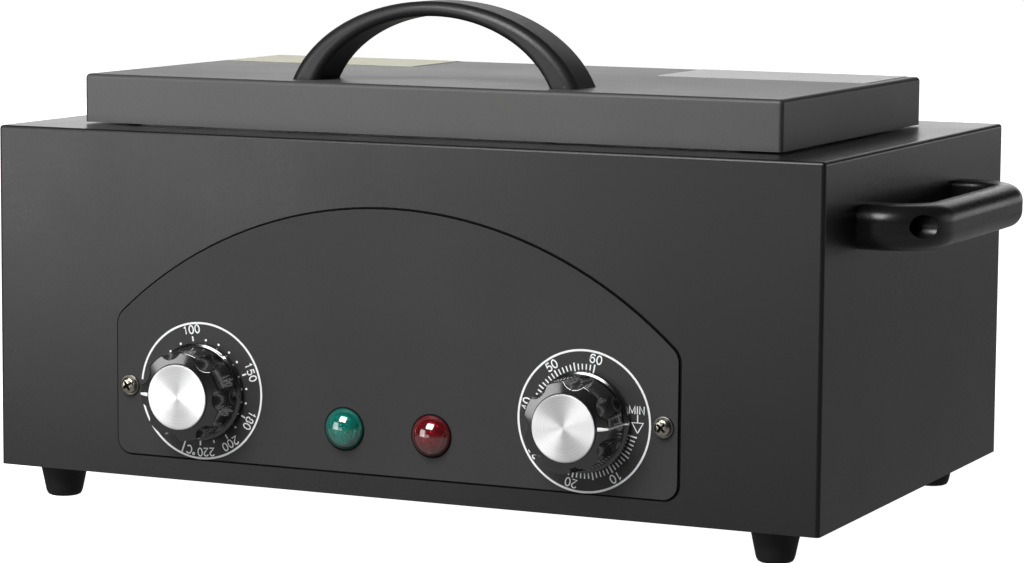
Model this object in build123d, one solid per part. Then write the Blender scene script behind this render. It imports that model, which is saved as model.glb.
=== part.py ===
from build123d import *
import math
import os

# Bench-top dry heat sterilizer: a folded steel cabinet on rubber feet, an
# insulated stainless chamber under a hinged lid, and a front control panel
# with a temperature dial, a minute timer and two indicator lamps.
# Millimetres, +X to the right seen from the front, +Y towards the back, +Z up.
# All sizes below are about the middle of the cabinet; Y_SHIFT then moves the
# whole object so that its bounding box is centred on the origin.

# ---------------------------------------------------------------- cabinet
CASE_W = 370.0
CASE_D = 228.0
CASE_H = 145.0
FOOT_H = 14.0
SHEET = 1.0
BEND_R = 1.6
FLANGE = 12.0            # inward flange at the bottom of the walls
Z0 = FOOT_H              # underside of the cabinet
Z1 = FOOT_H + CASE_H     # top of the cabinet
XW = CASE_W / 2
YF = -CASE_D / 2         # front face
YB = CASE_D / 2          # back face

# ---------------------------------------------------------------- control panel
PANEL_T = 1.0
PANEL_HALF = 126.7
PANEL_Z0 = 23.5
PANEL_ARC_R = 183.0
PANEL_ARC_Z = -50.8      # centre height of the top arc
PANEL_CORNER = 8.0
PANEL_LOW_CORNER = 6.5
YP = YF - PANEL_T        # panel face

DIAL_X = 86.5
DIAL_Z = 52.4
LAMP_X = 19.7
LAMP_Z = 41.5
PANEL_SCREW_X = 120.5
PANEL_SCREW_Z = 52.5

# ---------------------------------------------------------------- knobs
KNOB_GAP = 0.8
KNOB_SKIRT_R = 20.3
KNOB_RIM_R = 18.4
KNOB_FRONT = 18.8        # rim height in front of the panel
KNOB_LOBES = 7
SCALLOP_R = 5.5
SCALLOP_AT = 20.9        # distance of the scallop axis from the knob axis, at the rim
SCALLOP_LEAN = 1.9       # how much further out the axis is at the skirt
CAP_R = 13.6
CAP_FRONT = 20.4
SPINDLE_R = 3.0
SPINDLE_CLEAR = 0.06

# ---------------------------------------------------------------- lid
LID_W = 316.0
LID_Y0 = YF + 25.3
LID_Y1 = YB - 33.0
LID_GAP = 0.8
LID_Z0 = Z1 + LID_GAP
LID_H = 20.5
LID_Z1 = LID_Z0 + LID_H
LID_YC = (LID_Y0 + LID_Y1) / 2
HANDLE_OUT_A = 68.2      # lid handle: half axes of the arch outside
HANDLE_OUT_B = 48.2
HANDLE_IN_A = 56.2       # and inside
HANDLE_IN_B = 42.0
HANDLE_DROP = 14.2       # centre of both ellipses below the top of the lid
HANDLE_SCREW_X = 56.6
HANDLE_DEPTH = 24.2
HANDLE_Y0 = LID_Y0 + 10.7
HANDLE_YC = HANDLE_Y0 + HANDLE_DEPTH / 2

# ---------------------------------------------------------------- chamber
CH_W = 284.0
CH_D = 132.0
CH_DEPTH = 72.0
CH_T = 0.8
CH_FLANGE = 8.0
CH_R = 12.0
CH_ZB = Z1 + CH_T - CH_DEPTH        # inside floor
TRAY_W = 270.0
TRAY_D = 118.0
TRAY_H = 38.0
TRAY_T = 0.8

# ---------------------------------------------------------------- hinge
HINGE_X = 95.0
HINGE_W = 40.0
HINGE_R = 2.6
PIN_R = 1.3
HINGE_Y = LID_Y1 + HINGE_R
HINGE_Z = Z1 + 0.4 + HINGE_R
LEAF_T = 1.2

# ---------------------------------------------------------------- side handles
SH_Y0 = -78.0
SH_Y1 = 62.0
SH_OUT = 32.0
SH_Z0 = 121.6
SH_Z1 = 139.5
SH_BAR = 11.5
SH_ARM = 19.0
SH_R = 26.0
SH_HOLE_R = 4.65
SH_SCREW_IN = 9.0        # screw axis from the end of the handle

# ---------------------------------------------------------------- inlet
INLET_X = 112.0
INLET_Z = 48.0
INLET_FLANGE_T = 2.5

Y_FRONT = YP - CAP_FRONT
Y_REAR = YB + INLET_FLANGE_T
Y_SHIFT = -(Y_FRONT + Y_REAR) / 2

os.makedirs("parts", exist_ok=True)


def bx(x0, x1, y0, y1, z0, z1):
    return Pos((x0 + x1) / 2, (y0 + y1) / 2, (z0 + z1) / 2) * Box(x1 - x0, y1 - y0, z1 - z0)


def cyl_z(x, y, z0, z1, r):
    return Pos(x, y, (z0 + z1) / 2) * Cylinder(r, z1 - z0)


def cyl_y(x, z, y0, y1, r):
    return Pos(x, (y0 + y1) / 2, z) * Rot(90, 0, 0) * Cylinder(r, y1 - y0)


def cyl_x(y, z, x0, x1, r):
    return Pos((x0 + x1) / 2, y, z) * Rot(0, 90, 0) * Cylinder(r, x1 - x0)


def rbox(x0, x1, y0, y1, z0, z1, rv, rt=0.0, rb=0.0):
    """Box with rounded vertical edges, and top and bottom edges if asked."""
    s = bx(x0, x1, y0, y1, z0, z1)
    if rv:
        s = fillet(s.edges().filter_by(Axis.Z), rv)
    if rt:
        s = fillet(s.faces().sort_by(Axis.Z)[-1].edges(), rt)
    if rb:
        s = fillet(s.faces().sort_by(Axis.Z)[0].edges(), rb)
    return s


def turned(points):
    """Solid turned about +Z from (radius, height) points."""
    wire = Polyline(*[(r, 0, z) for r, z in points], close=True)
    return revolve(make_face(wire), Axis.Z)


def to_minus_y(x, y, z):
    """Puts a piece drawn with +Z as its outward axis on a face whose outward side is -Y."""
    return Pos(x, y, z) * Rot(90, 0, 0)


def pan_head(r, h, shank_r, shank_l, cross=True):
    """Pan head screw, drawn with its head above z = 0 and its shank below."""
    head = Cylinder(r, h, align=(Align.CENTER, Align.CENTER, Align.MIN))
    head = fillet(head.edges().sort_by(Axis.Z)[-1], min(h * 0.62, r * 0.5))
    s = head + Pos(0, 0, -shank_l / 2) * Cylinder(shank_r, shank_l)
    if cross:
        a = Pos(0, 0, h) * Box(r * 1.15, r * 0.26, h * 1.1)
        b = Pos(0, 0, h) * Box(r * 0.26, r * 1.15, h * 1.1)
        s = s - a - b
    return s


def flat_head(r, shank_r, shank_l):
    """Countersunk screw, top of the head at z = 0."""
    h = r - shank_r
    s = turned([(0, 0), (r, 0), (shank_r, -h), (shank_r, -shank_l), (0, -shank_l)])
    return s - Pos(0, 0, 0) * Box(r * 1.1, r * 0.24, 1.0) - Pos(0, 0, 0) * Box(r * 0.24, r * 1.1, 1.0)


# small countersunk screws whose heads lie flush in thin sheet
FLUSH_HEAD_R = 2.5
flush_sink = turned([(0, 0.01), (FLUSH_HEAD_R + 0.05, 0.01), (1.58, -0.96), (1.58, -3.0), (0, -3.0)])


def flush_screw(length):
    s = turned([(0, 0), (FLUSH_HEAD_R, 0), (1.5, -1.0), (1.5, -length), (0, -length)])
    return s - Box(2.9, 0.7, 1.1) - Box(0.7, 2.9, 1.1)


def hex_nut(af, h, bore):
    return extrude(RegularPolygon(af / math.sqrt(3), 6), h) - Cylinder(bore, 4 * h)


def group(parts):
    return Compound([s for p in parts for s in p.solids()])


written = {}


def put(name, shape):
    solids = [Pos(0, Y_SHIFT, 0) * s for s in shape.solids()]
    s = solids[0] if len(solids) == 1 else Compound(solids)
    written[name] = s
    export_step(s, f"parts/{name}.step")


def tube(points, radii, r):
    path = FilletPolyline(*points, radius=radii)
    start = Plane(origin=path @ 0, z_dir=path % 0)
    return sweep(start * Circle(r), path=path)


# ================================================================ cabinet sheet
outer = bx(-XW, XW, YF, YB, Z0, Z1)
outer = fillet(outer.edges().filter_by(Axis.Z), BEND_R)
outer = fillet(outer.faces().sort_by(Axis.Z)[-1].edges(), BEND_R)
inner = rbox(-XW + SHEET, XW - SHEET, YF + SHEET, YB - SHEET, Z0 - 1, Z1 - SHEET, BEND_R - SHEET + 0.001)
case = outer - inner
FL_Z = Z0 + SHEET
ring = bx(-XW + SHEET, XW - SHEET, YF + SHEET, YB - SHEET, FL_Z, FL_Z + SHEET) - bx(
    -XW + FLANGE, XW - FLANGE, YF + FLANGE, YB - FLANGE, FL_Z - 1, FL_Z + 2)
ring = ring & inner
case = case + ring
# opening for the chamber
case = case - rbox(-CH_W / 2 - CH_T - 0.4, CH_W / 2 + CH_T + 0.4, LID_YC - CH_D / 2 - CH_T - 0.4,
                   LID_YC + CH_D / 2 + CH_T + 0.4, Z1 - 5, Z1 + 5, CH_R + 1.0)

front_holes = []
for sx in (-1, 1):
    front_holes.append((sx * DIAL_X, DIAL_Z, 4.0))
    front_holes.append((sx * LAMP_X, LAMP_Z, 6.7))
    front_holes.append((sx * PANEL_SCREW_X, PANEL_SCREW_Z, 1.9))
for hx, hz, hr in front_holes:
    case = case - cyl_y(hx, hz, YF - 3, YF + 3, hr)
CS_PITCH = 14.0          # control fixing screws, each side of the spindle
for sx in (-1, 1):
    for s2 in (-1, 1):
        case = case - cyl_y(sx * DIAL_X, DIAL_Z + s2 * CS_PITCH, YF - 3, YF + 3, 1.9)
# side handle screw holes
SH_SCREWS = (SH_Y0 + SH_SCREW_IN, SH_Y1 - SH_SCREW_IN)
SH_ZC = (SH_Z0 + SH_Z1) / 2 + 0.9
for sx in (-1, 1):
    for y in SH_SCREWS:
        case = case - cyl_x(y, SH_ZC, sx * XW - 4, sx * XW + 4, 2.2)
# rear cut-out for the power inlet and its two screws
case = case - bx(INLET_X - 13.8, INLET_X + 13.8, YB - 4, YB + 4, INLET_Z - 10.3, INLET_Z + 10.3)
INLET_SCREW = 20.0
for sx in (-1, 1):
    case = case - cyl_y(INLET_X + sx * INLET_SCREW, INLET_Z, YB - 4, YB + 4, 1.7)
# holes in the flange for the bottom screws
BOTTOM_SCREWS = [(-120, YF + 6.5), (0, YF + 6.5), (120, YF + 6.5), (-120, YB - 6.5), (0, YB - 6.5), (120, YB - 6.5),
                 (-XW + 6.5, 0), (XW - 6.5, 0)]
for x, y in BOTTOM_SCREWS:
    case = case - cyl_z(x, y, FL_Z - 1, FL_Z + 3, 1.55)
# hinge screw holes in the rear strip of the top
HINGE_SCREW_DX = 13.0
HINGE_SCREW_Y = HINGE_Y + 11.5
for sx in (-1, 1):
    for s2 in (-1, 1):
        case = case - cyl_z(sx * HINGE_X + s2 * HINGE_SCREW_DX, HINGE_SCREW_Y, Z1 - 4, Z1 + 4, 1.55)
put("outer_case", case)

# ================================================================ bottom plate
bp = rbox(-XW + SHEET + 0.3, XW - SHEET - 0.3, YF + SHEET + 0.3, YB - SHEET - 0.3, Z0, Z0 + SHEET, 0.5)
FEET = [(x, sy * 97.4) for x in (-164.0, 161.3) for sy in (-1, 1)]
for x, y in FEET:
    bp = bp - cyl_z(x, y, Z0 - 2, Z0 + 4, 2.1)
for x, y in BOTTOM_SCREWS:
    bp = bp - Pos(x, y, Z0) * Rot(180, 0, 0) * flush_sink
slot = Pos(0, 0, Z0) * extrude(SlotOverall(34, 3), 6, both=True)
for gx in (-95, 95):
    for k in range(9):
        bp = bp - Pos(gx, (k - 4) * 9.0, 0) * slot
bp = bp - cyl_z(60, 70, Z0 - 2, Z0 + 4, 2.1)
put("bottom_plate", bp)

# ================================================================ control panel
zc_side = PANEL_ARC_Z + math.sqrt(PANEL_ARC_R ** 2 - PANEL_HALF ** 2)
sk = make_face([
    Line((-PANEL_HALF, PANEL_Z0), (PANEL_HALF, PANEL_Z0)),
    Line((PANEL_HALF, PANEL_Z0), (PANEL_HALF, zc_side)),
    ThreePointArc((PANEL_HALF, zc_side), (0, PANEL_ARC_Z + PANEL_ARC_R), (-PANEL_HALF, zc_side)),
    Line((-PANEL_HALF, zc_side), (-PANEL_HALF, PANEL_Z0)),
])
low = sk.vertices().sort_by(Axis.Y)[0:2]
sk = fillet(low, PANEL_LOW_CORNER)
high = [v for v in sk.vertices() if abs(v.Y - zc_side) < 0.01]
sk = fillet(high, PANEL_CORNER)
panel = Pos(0, YF, 0) * Rot(90, 0, 0) * extrude(sk, PANEL_T)
panel = fillet(panel.faces().sort_by(Axis.Y)[0].edges(), 0.45)
for hx, hz, hr in front_holes:
    panel = panel - cyl_y(hx, hz, YF - 3, YF + 3, hr)
for sx in (-1, 1):
    for s2 in (-1, 1):
        x, z = sx * DIAL_X, DIAL_Z + s2 * CS_PITCH
        panel = panel - to_minus_y(x, YP, z) * turned([(0, 0.01), (2.91, 0.01), (1.9, -1.0), (1.9, -2), (0, -2)])
put("control_panel", panel)

put("panel_washers", group([
    to_minus_y(sx * PANEL_SCREW_X, YP, PANEL_SCREW_Z) * (
        fillet(Cylinder(4.4, 0.8, align=(Align.CENTER, Align.CENTER, Align.MIN)).edges().sort_by(Axis.Z)[-1], 0.35)
        - Cylinder(1.95, 4)) for sx in (-1, 1)]))
put("panel_screws", group([
    to_minus_y(sx * PANEL_SCREW_X, YP - 0.8, PANEL_SCREW_Z) * Rot(0, 0, sx * 14 + 8) * pan_head(3.4, 2.3, 1.75, 9.0)
    for sx in (-1, 1)]))

# ================================================================ knobs, spindles and controls
prof = [(0, KNOB_GAP), (KNOB_SKIRT_R - 0.5, KNOB_GAP), (KNOB_SKIRT_R, KNOB_GAP + 0.5), (KNOB_SKIRT_R, KNOB_GAP + 1.9),
        (KNOB_SKIRT_R - 0.5, KNOB_GAP + 2.5), (KNOB_SKIRT_R - 1.0, KNOB_GAP + 3.0),
        (KNOB_RIM_R, KNOB_FRONT - 1.0), (KNOB_RIM_R - 0.35, KNOB_FRONT - 0.4), (KNOB_RIM_R - 1.1, KNOB_FRONT),
        (CAP_R + 0.6, KNOB_FRONT + 0.5), (CAP_R + 0.1, KNOB_FRONT + 0.3), (CAP_R + 0.1, KNOB_FRONT), (0, KNOB_FRONT)]
knob0 = turned(prof)
lean = math.degrees(math.atan2(SCALLOP_LEAN, KNOB_FRONT - 4.0))
for k in range(KNOB_LOBES):
    a = 360.0 / KNOB_LOBES * (k + 0.5)
    tool = Pos(0, 0, 12) * Cylinder(SCALLOP_R, 24) + Sphere(SCALLOP_R)
    tool = Rot(0, -lean, 0) * tool
    tool = Pos(SCALLOP_AT + SCALLOP_LEAN * (KNOB_FRONT - 7.6) / (KNOB_FRONT - 4.0), 0, 7.6) * tool
    knob0 = knob0 - Rot(0, 0, a) * tool
knob0 = knob0 - cyl_z(0, 0, 0, 8.5, 13.6)
knob0 = knob0 + cyl_z(0, 0, KNOB_GAP + 0.6, 9.0, 6.2)
SP_TIP = 14.0            # spindle end in front of the panel
flat_cut = bx(-5, 5, 1.6, 5, 3.0, 30)
spindle_front = cyl_z(0, 0, 0.0, SP_TIP, SPINDLE_R) - flat_cut
knob0 = knob0 - spindle_front

cap0 = turned([(0, KNOB_FRONT), (CAP_R, KNOB_FRONT), (CAP_R, CAP_FRONT - 0.45), (CAP_R - 0.45, CAP_FRONT),
               (CAP_R - 1.0, CAP_FRONT - 0.12), (0, CAP_FRONT - 0.25)])

BODY_Y0 = YF + SHEET     # inside of the front wall
REG_DEPTH = 30.0
TIM_DEPTH = 31.0
SP_BACK = 18.0           # how far the spindle goes into its control, behind the panel face
spindle0 = cyl_z(0, 0, -SP_BACK, SP_TIP, SPINDLE_R) - flat_cut

# angle of the pointer, clockwise from 12 seen from the front
TEMP_POINTER = 270.0
TIMER_POINTER = 88.0


def knob_place(x, pointer):
    # drawn with the pointer lobe along +X; +Z becomes -Y, and +X stays, so a turn about -Y places it
    return Pos(x, YP, DIAL_Z) * Rot(90, 0, 0) * Rot(0, 0, 90.0 - pointer)


for nm, x, ptr in (("temperature", -DIAL_X, TEMP_POINTER), ("timer", DIAL_X, TIMER_POINTER)):
    pl = knob_place(x, ptr)
    put(nm + "_knob", pl * knob0)
    put(nm + "_knob_cap", pl * cap0)
    put(nm + "_spindle", pl * spindle0)


def control(x, w, h, depth, bore_depth):
    yb = BODY_Y0 + depth
    body = rbox(-w / 2, w / 2, 0, depth - 4, -h / 2, h / 2, 0)
    body = fillet(body.edges().filter_by(Axis.Y), 3.0)
    body = body + bx(-w / 2 + 3, w / 2 - 3, depth - 4, depth, -h / 2 + 4, h / 2 - 4)
    body = body + bx(-8, 8, 0, 1.2, -CS_PITCH - 5, CS_PITCH + 5)
    body = Pos(x, BODY_Y0, DIAL_Z) * body
    body = body - cyl_y(x, DIAL_Z, BODY_Y0 - 1, BODY_Y0 + bore_depth, SPINDLE_R + SPINDLE_CLEAR)
    for s2 in (-1, 1):
        body = body - cyl_y(x, DIAL_Z + s2 * CS_PITCH, BODY_Y0 - 1, BODY_Y0 + 7.5, 1.5)
    return body, yb


bore = SP_BACK - PANEL_T - SHEET + 0.4
reg, reg_back = control(-DIAL_X, 38, 40, REG_DEPTH, bore)
tim, tim_back = control(DIAL_X, 44, 44, TIM_DEPTH, bore)
put("regulator_body", reg)
put("timer_body", tim)


def tab_y(x, z, y0, l=9.0):
    return bx(x - 3.15, x + 3.15, y0, y0 + l, z - 0.4, z + 0.4) - cyl_z(x, y0 + l - 3.5, z - 2, z + 2, 0.8)


REG_TABS = [(-DIAL_X - 9, DIAL_Z - 9), (-DIAL_X + 9, DIAL_Z - 9)]
TIM_TABS = [(DIAL_X - 9, DIAL_Z - 9), (DIAL_X + 9, DIAL_Z - 9)]
put("control_terminals", group([tab_y(x, z, reg_back) for x, z in REG_TABS] + [tab_y(x, z, tim_back) for x, z in TIM_TABS]))
countersunk = [to_minus_y(sx * DIAL_X, YP, DIAL_Z + s2 * CS_PITCH) * flat_head(2.9, 1.45, 8.5) for sx in (-1, 1) for s2 in (-1, 1)]

# ================================================================ indicator lamps
lens0 = turned([(0, 6.0), (1.6, 5.95), (3.2, 5.7), (4.7, 5.2), (6.0, 4.45), (7.1, 3.4), (7.9, 2.2), (8.35, 1.0), (8.5, 0.0),
                (6.3, 0.0), (6.3, -6.0), (5.2, -6.0), (5.2, 0.6), (5.0, 2.2), (3.6, 3.6), (0, 4.3)])
bulb0 = turned([(0, 2.2), (1.2, 1.9), (2.0, 1.0), (2.3, -0.4), (2.3, -10.0), (0, -10.0)])
holder0 = turned([(0, -10.1), (2.4, -10.1), (2.4, -5.9), (6.3, -6.1), (6.3, -30.0), (3.0, -31.5), (0, -31.5)]) \
    + Pos(0, 2.6, -35) * Box(2.8, 0.6, 9) + Pos(0, -2.6, -35) * Box(2.8, 0.6, 9)
clip0 = cyl_z(0, 0, -3.4, -2.0, 9.0) - cyl_z(0, 0, -5, 0, 6.35)
for colour, x in (("green", -LAMP_X), ("red", LAMP_X)):
    pl = to_minus_y(x, YP, LAMP_Z)
    put(colour + "_lamp_lens", pl * lens0)
    put(colour + "_lamp_bulb", pl * bulb0)
    put(colour + "_lamp_holder", pl * holder0)
put("lamp_clips", group([to_minus_y(sx * LAMP_X, YP, LAMP_Z) * clip0 for sx in (-1, 1)]))

# ================================================================ chamber
cx0, cx1 = -CH_W / 2, CH_W / 2
cy0, cy1 = LID_YC - CH_D / 2, LID_YC + CH_D / 2
shell = rbox(cx0 - CH_T, cx1 + CH_T, cy0 - CH_T, cy1 + CH_T, CH_ZB - CH_T, Z1 + 0.0, CH_R + CH_T, 0, 6.0 + CH_T)
flange = rbox(cx0 - CH_FLANGE, cx1 + CH_FLANGE, cy0 - CH_FLANGE, cy1 + CH_FLANGE, Z1, Z1 + CH_T, CH_R + 4)
hollow = rbox(cx0, cx1, cy0, cy1, CH_ZB, Z1 + 5, CH_R, 0, 6.0)
chamber = (shell + flange) - hollow
STUDS = [(-120, LID_YC - 50), (120, LID_YC - 50), (-120, LID_YC + 50), (120, LID_YC + 50)]
CLAMPS = [(-62, LID_YC), (62, LID_YC)]
ZCB = CH_ZB - CH_T
for x, y in STUDS:
    chamber = chamber + cyl_z(x, y, 59, ZCB + 0.2, 2.0)
for x, y in CLAMPS:
    chamber = chamber + cyl_z(x, y, 75.5, ZCB + 0.2, 2.0)
put("chamber", chamber)

# perforated instrument tray
TZ0 = CH_ZB + 2.5
tx, ty = TRAY_W / 2, TRAY_D / 2
tray_out = rbox(-tx, tx, LID_YC - ty, LID_YC + ty, TZ0, TZ0 + TRAY_H, 10, 0, 4)
tray_in = rbox(-tx + TRAY_T, tx - TRAY_T, LID_YC - ty + TRAY_T, LID_YC + ty - TRAY_T, TZ0 + TRAY_T, TZ0 + TRAY_H + 4, 9.2, 0, 3.2)
tray = tray_out - tray_in
rim = rbox(-tx - 3, tx + 3, LID_YC - ty - 3, LID_YC + ty + 3, TZ0 + TRAY_H - TRAY_T, TZ0 + TRAY_H, 13) \
    - rbox(-tx + TRAY_T, tx - TRAY_T, LID_YC - ty + TRAY_T, LID_YC + ty - TRAY_T, TZ0, TZ0 + TRAY_H + 4, 9.2)
tray = tray + rim
holes = [Pos(-112 + 16 * i, LID_YC - 42 + 14 * j, TZ0) * Cylinder(2.5, 6) for i in range(15) for j in range(7)]
tray = tray - Compound(children=holes)
for x in (-100, 100):
    for y in (-40, 40):
        tray = tray + cyl_z(x + (8 if x < 0 else -8), LID_YC + y + (-5 if y < 0 else 5), CH_ZB + 0.1, TZ0 + 0.3, 3.0)
put("instrument_tray", tray)

# wire lifting handles at both ends of the tray
WR = 1.6
lifts = []
for sx in (-1, 1):
    x = sx * (tx - TRAY_T - WR - 0.05)
    pts = [(x, LID_YC - 36, TZ0 + 8), (x, LID_YC - 36, TZ0 + TRAY_H + 23), (x, LID_YC + 36, TZ0 + TRAY_H + 23),
           (x, LID_YC + 36, TZ0 + 8)]
    lifts.append(tube(pts, 9.0, WR))
put("tray_handles", group(lifts))

# ================================================================ heater, insulation and shield under the chamber
HR = 3.25
HZ = ZCB - HR - 0.1
hy = 36.0
put("heating_element", tube([(-112, LID_YC - hy, 62), (-112, LID_YC - hy, HZ), (112, LID_YC - hy, HZ), (112, LID_YC + hy, HZ),
                             (-112, LID_YC + hy, HZ), (-112, LID_YC + hy, 62)], [12.0, 30.0, 30.0, 12.0], HR))
HEAT_TABS = [(-112, LID_YC - hy), (-112, LID_YC + hy)]
put("heater_terminals", group([
    bx(x - 3.15, x + 3.15, y - 0.4, y + 0.4, 51.5, 59.5) + cyl_z(x, y, 58.5, 62.0, 2.2) for x, y in HEAT_TABS]))
CLZ = HZ - HR - 0.1
put("heater_clamps", group([bx(x - 7, x + 7, LID_YC - hy - 9, LID_YC + hy + 9, CLZ - 1.2, CLZ) - cyl_z(x, LID_YC, 70, 90, 2.15)
                            for x, _ in CLAMPS]))

INS = 8.0
g = 0.5
wrap = rbox(cx0 - CH_T - g - INS, cx1 + CH_T + g + INS, cy0 - CH_T - g - INS, cy1 + CH_T + g + INS, 74.5, Z1 - SHEET - 1.5, 20) \
    - rbox(cx0 - CH_T - g, cx1 + CH_T + g, cy0 - CH_T - g, cy1 + CH_T + g, 70, Z1 + 5, CH_R + CH_T + g)
put("insulation_wrap", wrap)
pad = rbox(cx0 - CH_T - g - INS, cx1 + CH_T + g + INS, cy0 - CH_T - g - INS, cy1 + CH_T + g + INS, 63.0, 74.0, 20)
BULB_Y = LID_YC + 14.0
for x, y in STUDS:
    pad = pad - cyl_z(x, y, 60, 80, 2.6)
for x, y in HEAT_TABS:
    pad = pad - cyl_z(x, y, 60, 80, 4.2)
pad = pad - cyl_z(-DIAL_X, BULB_Y, 60, 80, 3.0)
put("insulation_pad", pad)
shield = rbox(cx0, cx1, cy0, cy1, 61.8, 62.8, 8)
for x, y in STUDS:
    shield = shield - cyl_z(x, y, 50, 80, 2.15)
for x, y in HEAT_TABS:
    shield = shield - cyl_z(x, y, 50, 80, 5.5)
shield = shield - cyl_z(-DIAL_X, BULB_Y, 50, 80, 3.0)
put("heat_shield", shield)
put("chamber_nuts", group([Pos(x, y, 61.8 - 3.2) * hex_nut(7, 3.2, 2.0) for x, y in STUDS]
                          + [Pos(x, LID_YC, CLZ - 1.2 - 3.2) * hex_nut(7, 3.2, 2.0) for x, _ in CLAMPS]))

# temperature sensor: bulb against the chamber floor and its capillary to the regulator
BZ = ZCB - 2.2
sensor = cyl_x(BULB_Y, BZ, -45, 35, 2.1)
cap_tube = tube([(-44.5, BULB_Y, BZ), (-DIAL_X, BULB_Y, BZ), (-DIAL_X, BULB_Y, DIAL_Z + 4), (-DIAL_X, reg_back, DIAL_Z + 4)],
                [9.0, 9.0], 0.8)
put("temperature_sensor", sensor + cap_tube)

# ================================================================ feet
foot0 = turned([(2.2, 14.0), (10.0, 14.0), (10.0, 12.6), (7.9, 2.6), (7.45, 1.2), (6.9, 0.4), (6.0, 0.0), (4.3, 0.0), (4.3, 7.0), (2.2, 7.0)])
put("rubber_feet", group([Pos(x, y, 0) * foot0 for x, y in FEET]))
put("foot_screws", group([Pos(x, y, 7.0) * Rot(180, 0, 20) * pan_head(3.9, 2.6, 1.95, 14.0) for x, y in FEET]))
put("bottom_screws", group([Pos(x, y, Z0) * Rot(180, 0, 35) * flush_screw(6.0) for x, y in BOTTOM_SCREWS]))

# ================================================================ side handles
ym = (SH_Y0 + SH_Y1) / 2


def d_loop(x1, y0, y1, r):
    f = make_face(Polyline((XW, y0), (x1, y0), (x1, y1), (XW, y1), close=True))
    far = [v for v in f.vertices() if v.X > XW + 1]
    return fillet(far, r)


sh = extrude(Pos(0, 0, SH_Z0) * d_loop(XW + SH_OUT, SH_Y0, SH_Y1, SH_R), SH_Z1 - SH_Z0)
rims = [e for e in sh.edges() if abs(e.center().Z - (SH_Z0 + SH_Z1) / 2) > 8.0 and e.center().X > XW + 0.5]
sh = fillet(rims, 7.0)
cut = extrude(Pos(0, 0, SH_Z0 - 2) * d_loop(XW + SH_OUT - SH_BAR, SH_Y0 + SH_ARM, SH_Y1 - SH_ARM, 11.0), SH_Z1 - SH_Z0 + 4)
cut = cut + bx(XW - 5, XW, SH_Y0 + SH_ARM, SH_Y1 - SH_ARM, SH_Z0 - 2, SH_Z1 + 2)
sh = sh - cut
inner_edges = [e for e in sh.edges() if (abs(e.center().Z - SH_Z0) < 0.05 or abs(e.center().Z - SH_Z1) < 0.05)
               and SH_Y0 + SH_ARM - 0.5 < e.center().Y < SH_Y1 - SH_ARM + 0.5 and XW + 0.5 < e.center().X < XW + SH_OUT - SH_BAR + 0.5]
sh = fillet(inner_edges, 2.6)
for y in SH_SCREWS:
    sh = sh - cyl_x(y, SH_ZC, XW + 5.0, XW + 60, SH_HOLE_R) - cyl_x(y, SH_ZC, XW - 2, XW + 10, 2.15)
put("right_side_handle", sh)
put("left_side_handle", mirror(sh, about=Plane.YZ))
shs = []
for sx in (-1, 1):
    for y in SH_SCREWS:
        shs.append(Pos(sx * (XW + 5.0), y, SH_ZC) * Rot(0, sx * 90, 0) * Rot(0, 0, 25) * pan_head(3.9, 2.6, 1.95, 12.0))
put("side_handle_screws", group(shs))
put("cabinet_nuts", group([
    Pos(sx * (XW - SHEET), y, SH_ZC) * Rot(0, -sx * 90, 0) * hex_nut(7, 3.2, 2.0) for sx in (-1, 1) for y in SH_SCREWS]
    + [Pos(x, y, Z0 + SHEET) * hex_nut(7, 3.2, 2.0) for x, y in FEET]))

# ================================================================ lid
lx = LID_W / 2
lid = bx(-lx, lx, LID_Y0, LID_Y1, LID_Z0, LID_Z1)
lid = fillet(lid.edges().filter_by(Axis.Z), 1.8)
lid = fillet(lid.faces().sort_by(Axis.Z)[-1].edges(), 1.8)
lid = lid - rbox(-lx + SHEET, lx - SHEET, LID_Y0 + SHEET, LID_Y1 - SHEET, LID_Z0 - 2, LID_Z1 - SHEET, 0.8)
HX = HANDLE_SCREW_X
for sx in (-1, 1):
    lid = lid - cyl_z(sx * HX, HANDLE_YC, LID_Z1 - 4, LID_Z1 + 4, 2.2)
LEAF_SCREW_Z = HINGE_Z + 8.6
for sx in (-1, 1):
    for s2 in (-1, 1):
        lid = lid - cyl_y(sx * HINGE_X + s2 * HINGE_SCREW_DX, LEAF_SCREW_Z, LID_Y1 - 4, LID_Y1 + 4, 1.55)
put("lid_cover", lid)

LINER_Z0 = LID_Z0 + 0.1
li = 0.2
liner = rbox(-lx + SHEET + li, lx - SHEET - li, LID_Y0 + SHEET + li, LID_Y1 - SHEET - li, LINER_Z0, LINER_Z0 + 9.0, 1.4) \
    - rbox(-lx + SHEET + li + 0.8, lx - SHEET - li - 0.8, LID_Y0 + SHEET + li + 0.8, LID_Y1 - SHEET - li - 0.8,
           LINER_Z0 + 0.8, LINER_Z0 + 20, 0.6)
for sx in (-1, 1):
    for s2 in (-1, 1):
        liner = liner - cyl_y(sx * HINGE_X + s2 * HINGE_SCREW_DX, LEAF_SCREW_Z, LID_Y1 - 8, LID_Y1 + 4, 3.4)
put("lid_liner", liner)
lins = bx(-lx + 2.6, lx - 2.6, LID_Y0 + 2.6, LID_Y1 - 2.6, LINER_Z0 + 1.0, LID_Z1 - SHEET - 0.2)
for sx in (-1, 1):
    lins = lins - cyl_z(sx * HX, HANDLE_YC, LID_Z1 - 8, LID_Z1 + 4, 5.5)
    for s2 in (-1, 1):
        lins = lins - cyl_y(sx * HINGE_X + s2 * HINGE_SCREW_DX, LEAF_SCREW_Z, LID_Y1 - 9, LID_Y1 + 4, 4.0)
put("lid_insulation", lins)


def half_ellipse(a, b):
    """The part of an ellipse that stands above the lid."""
    return Pos(0, -HANDLE_DROP) * Ellipse(a, b) & Pos(0, b) * Rectangle(2 * a + 2, 2 * b)


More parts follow.
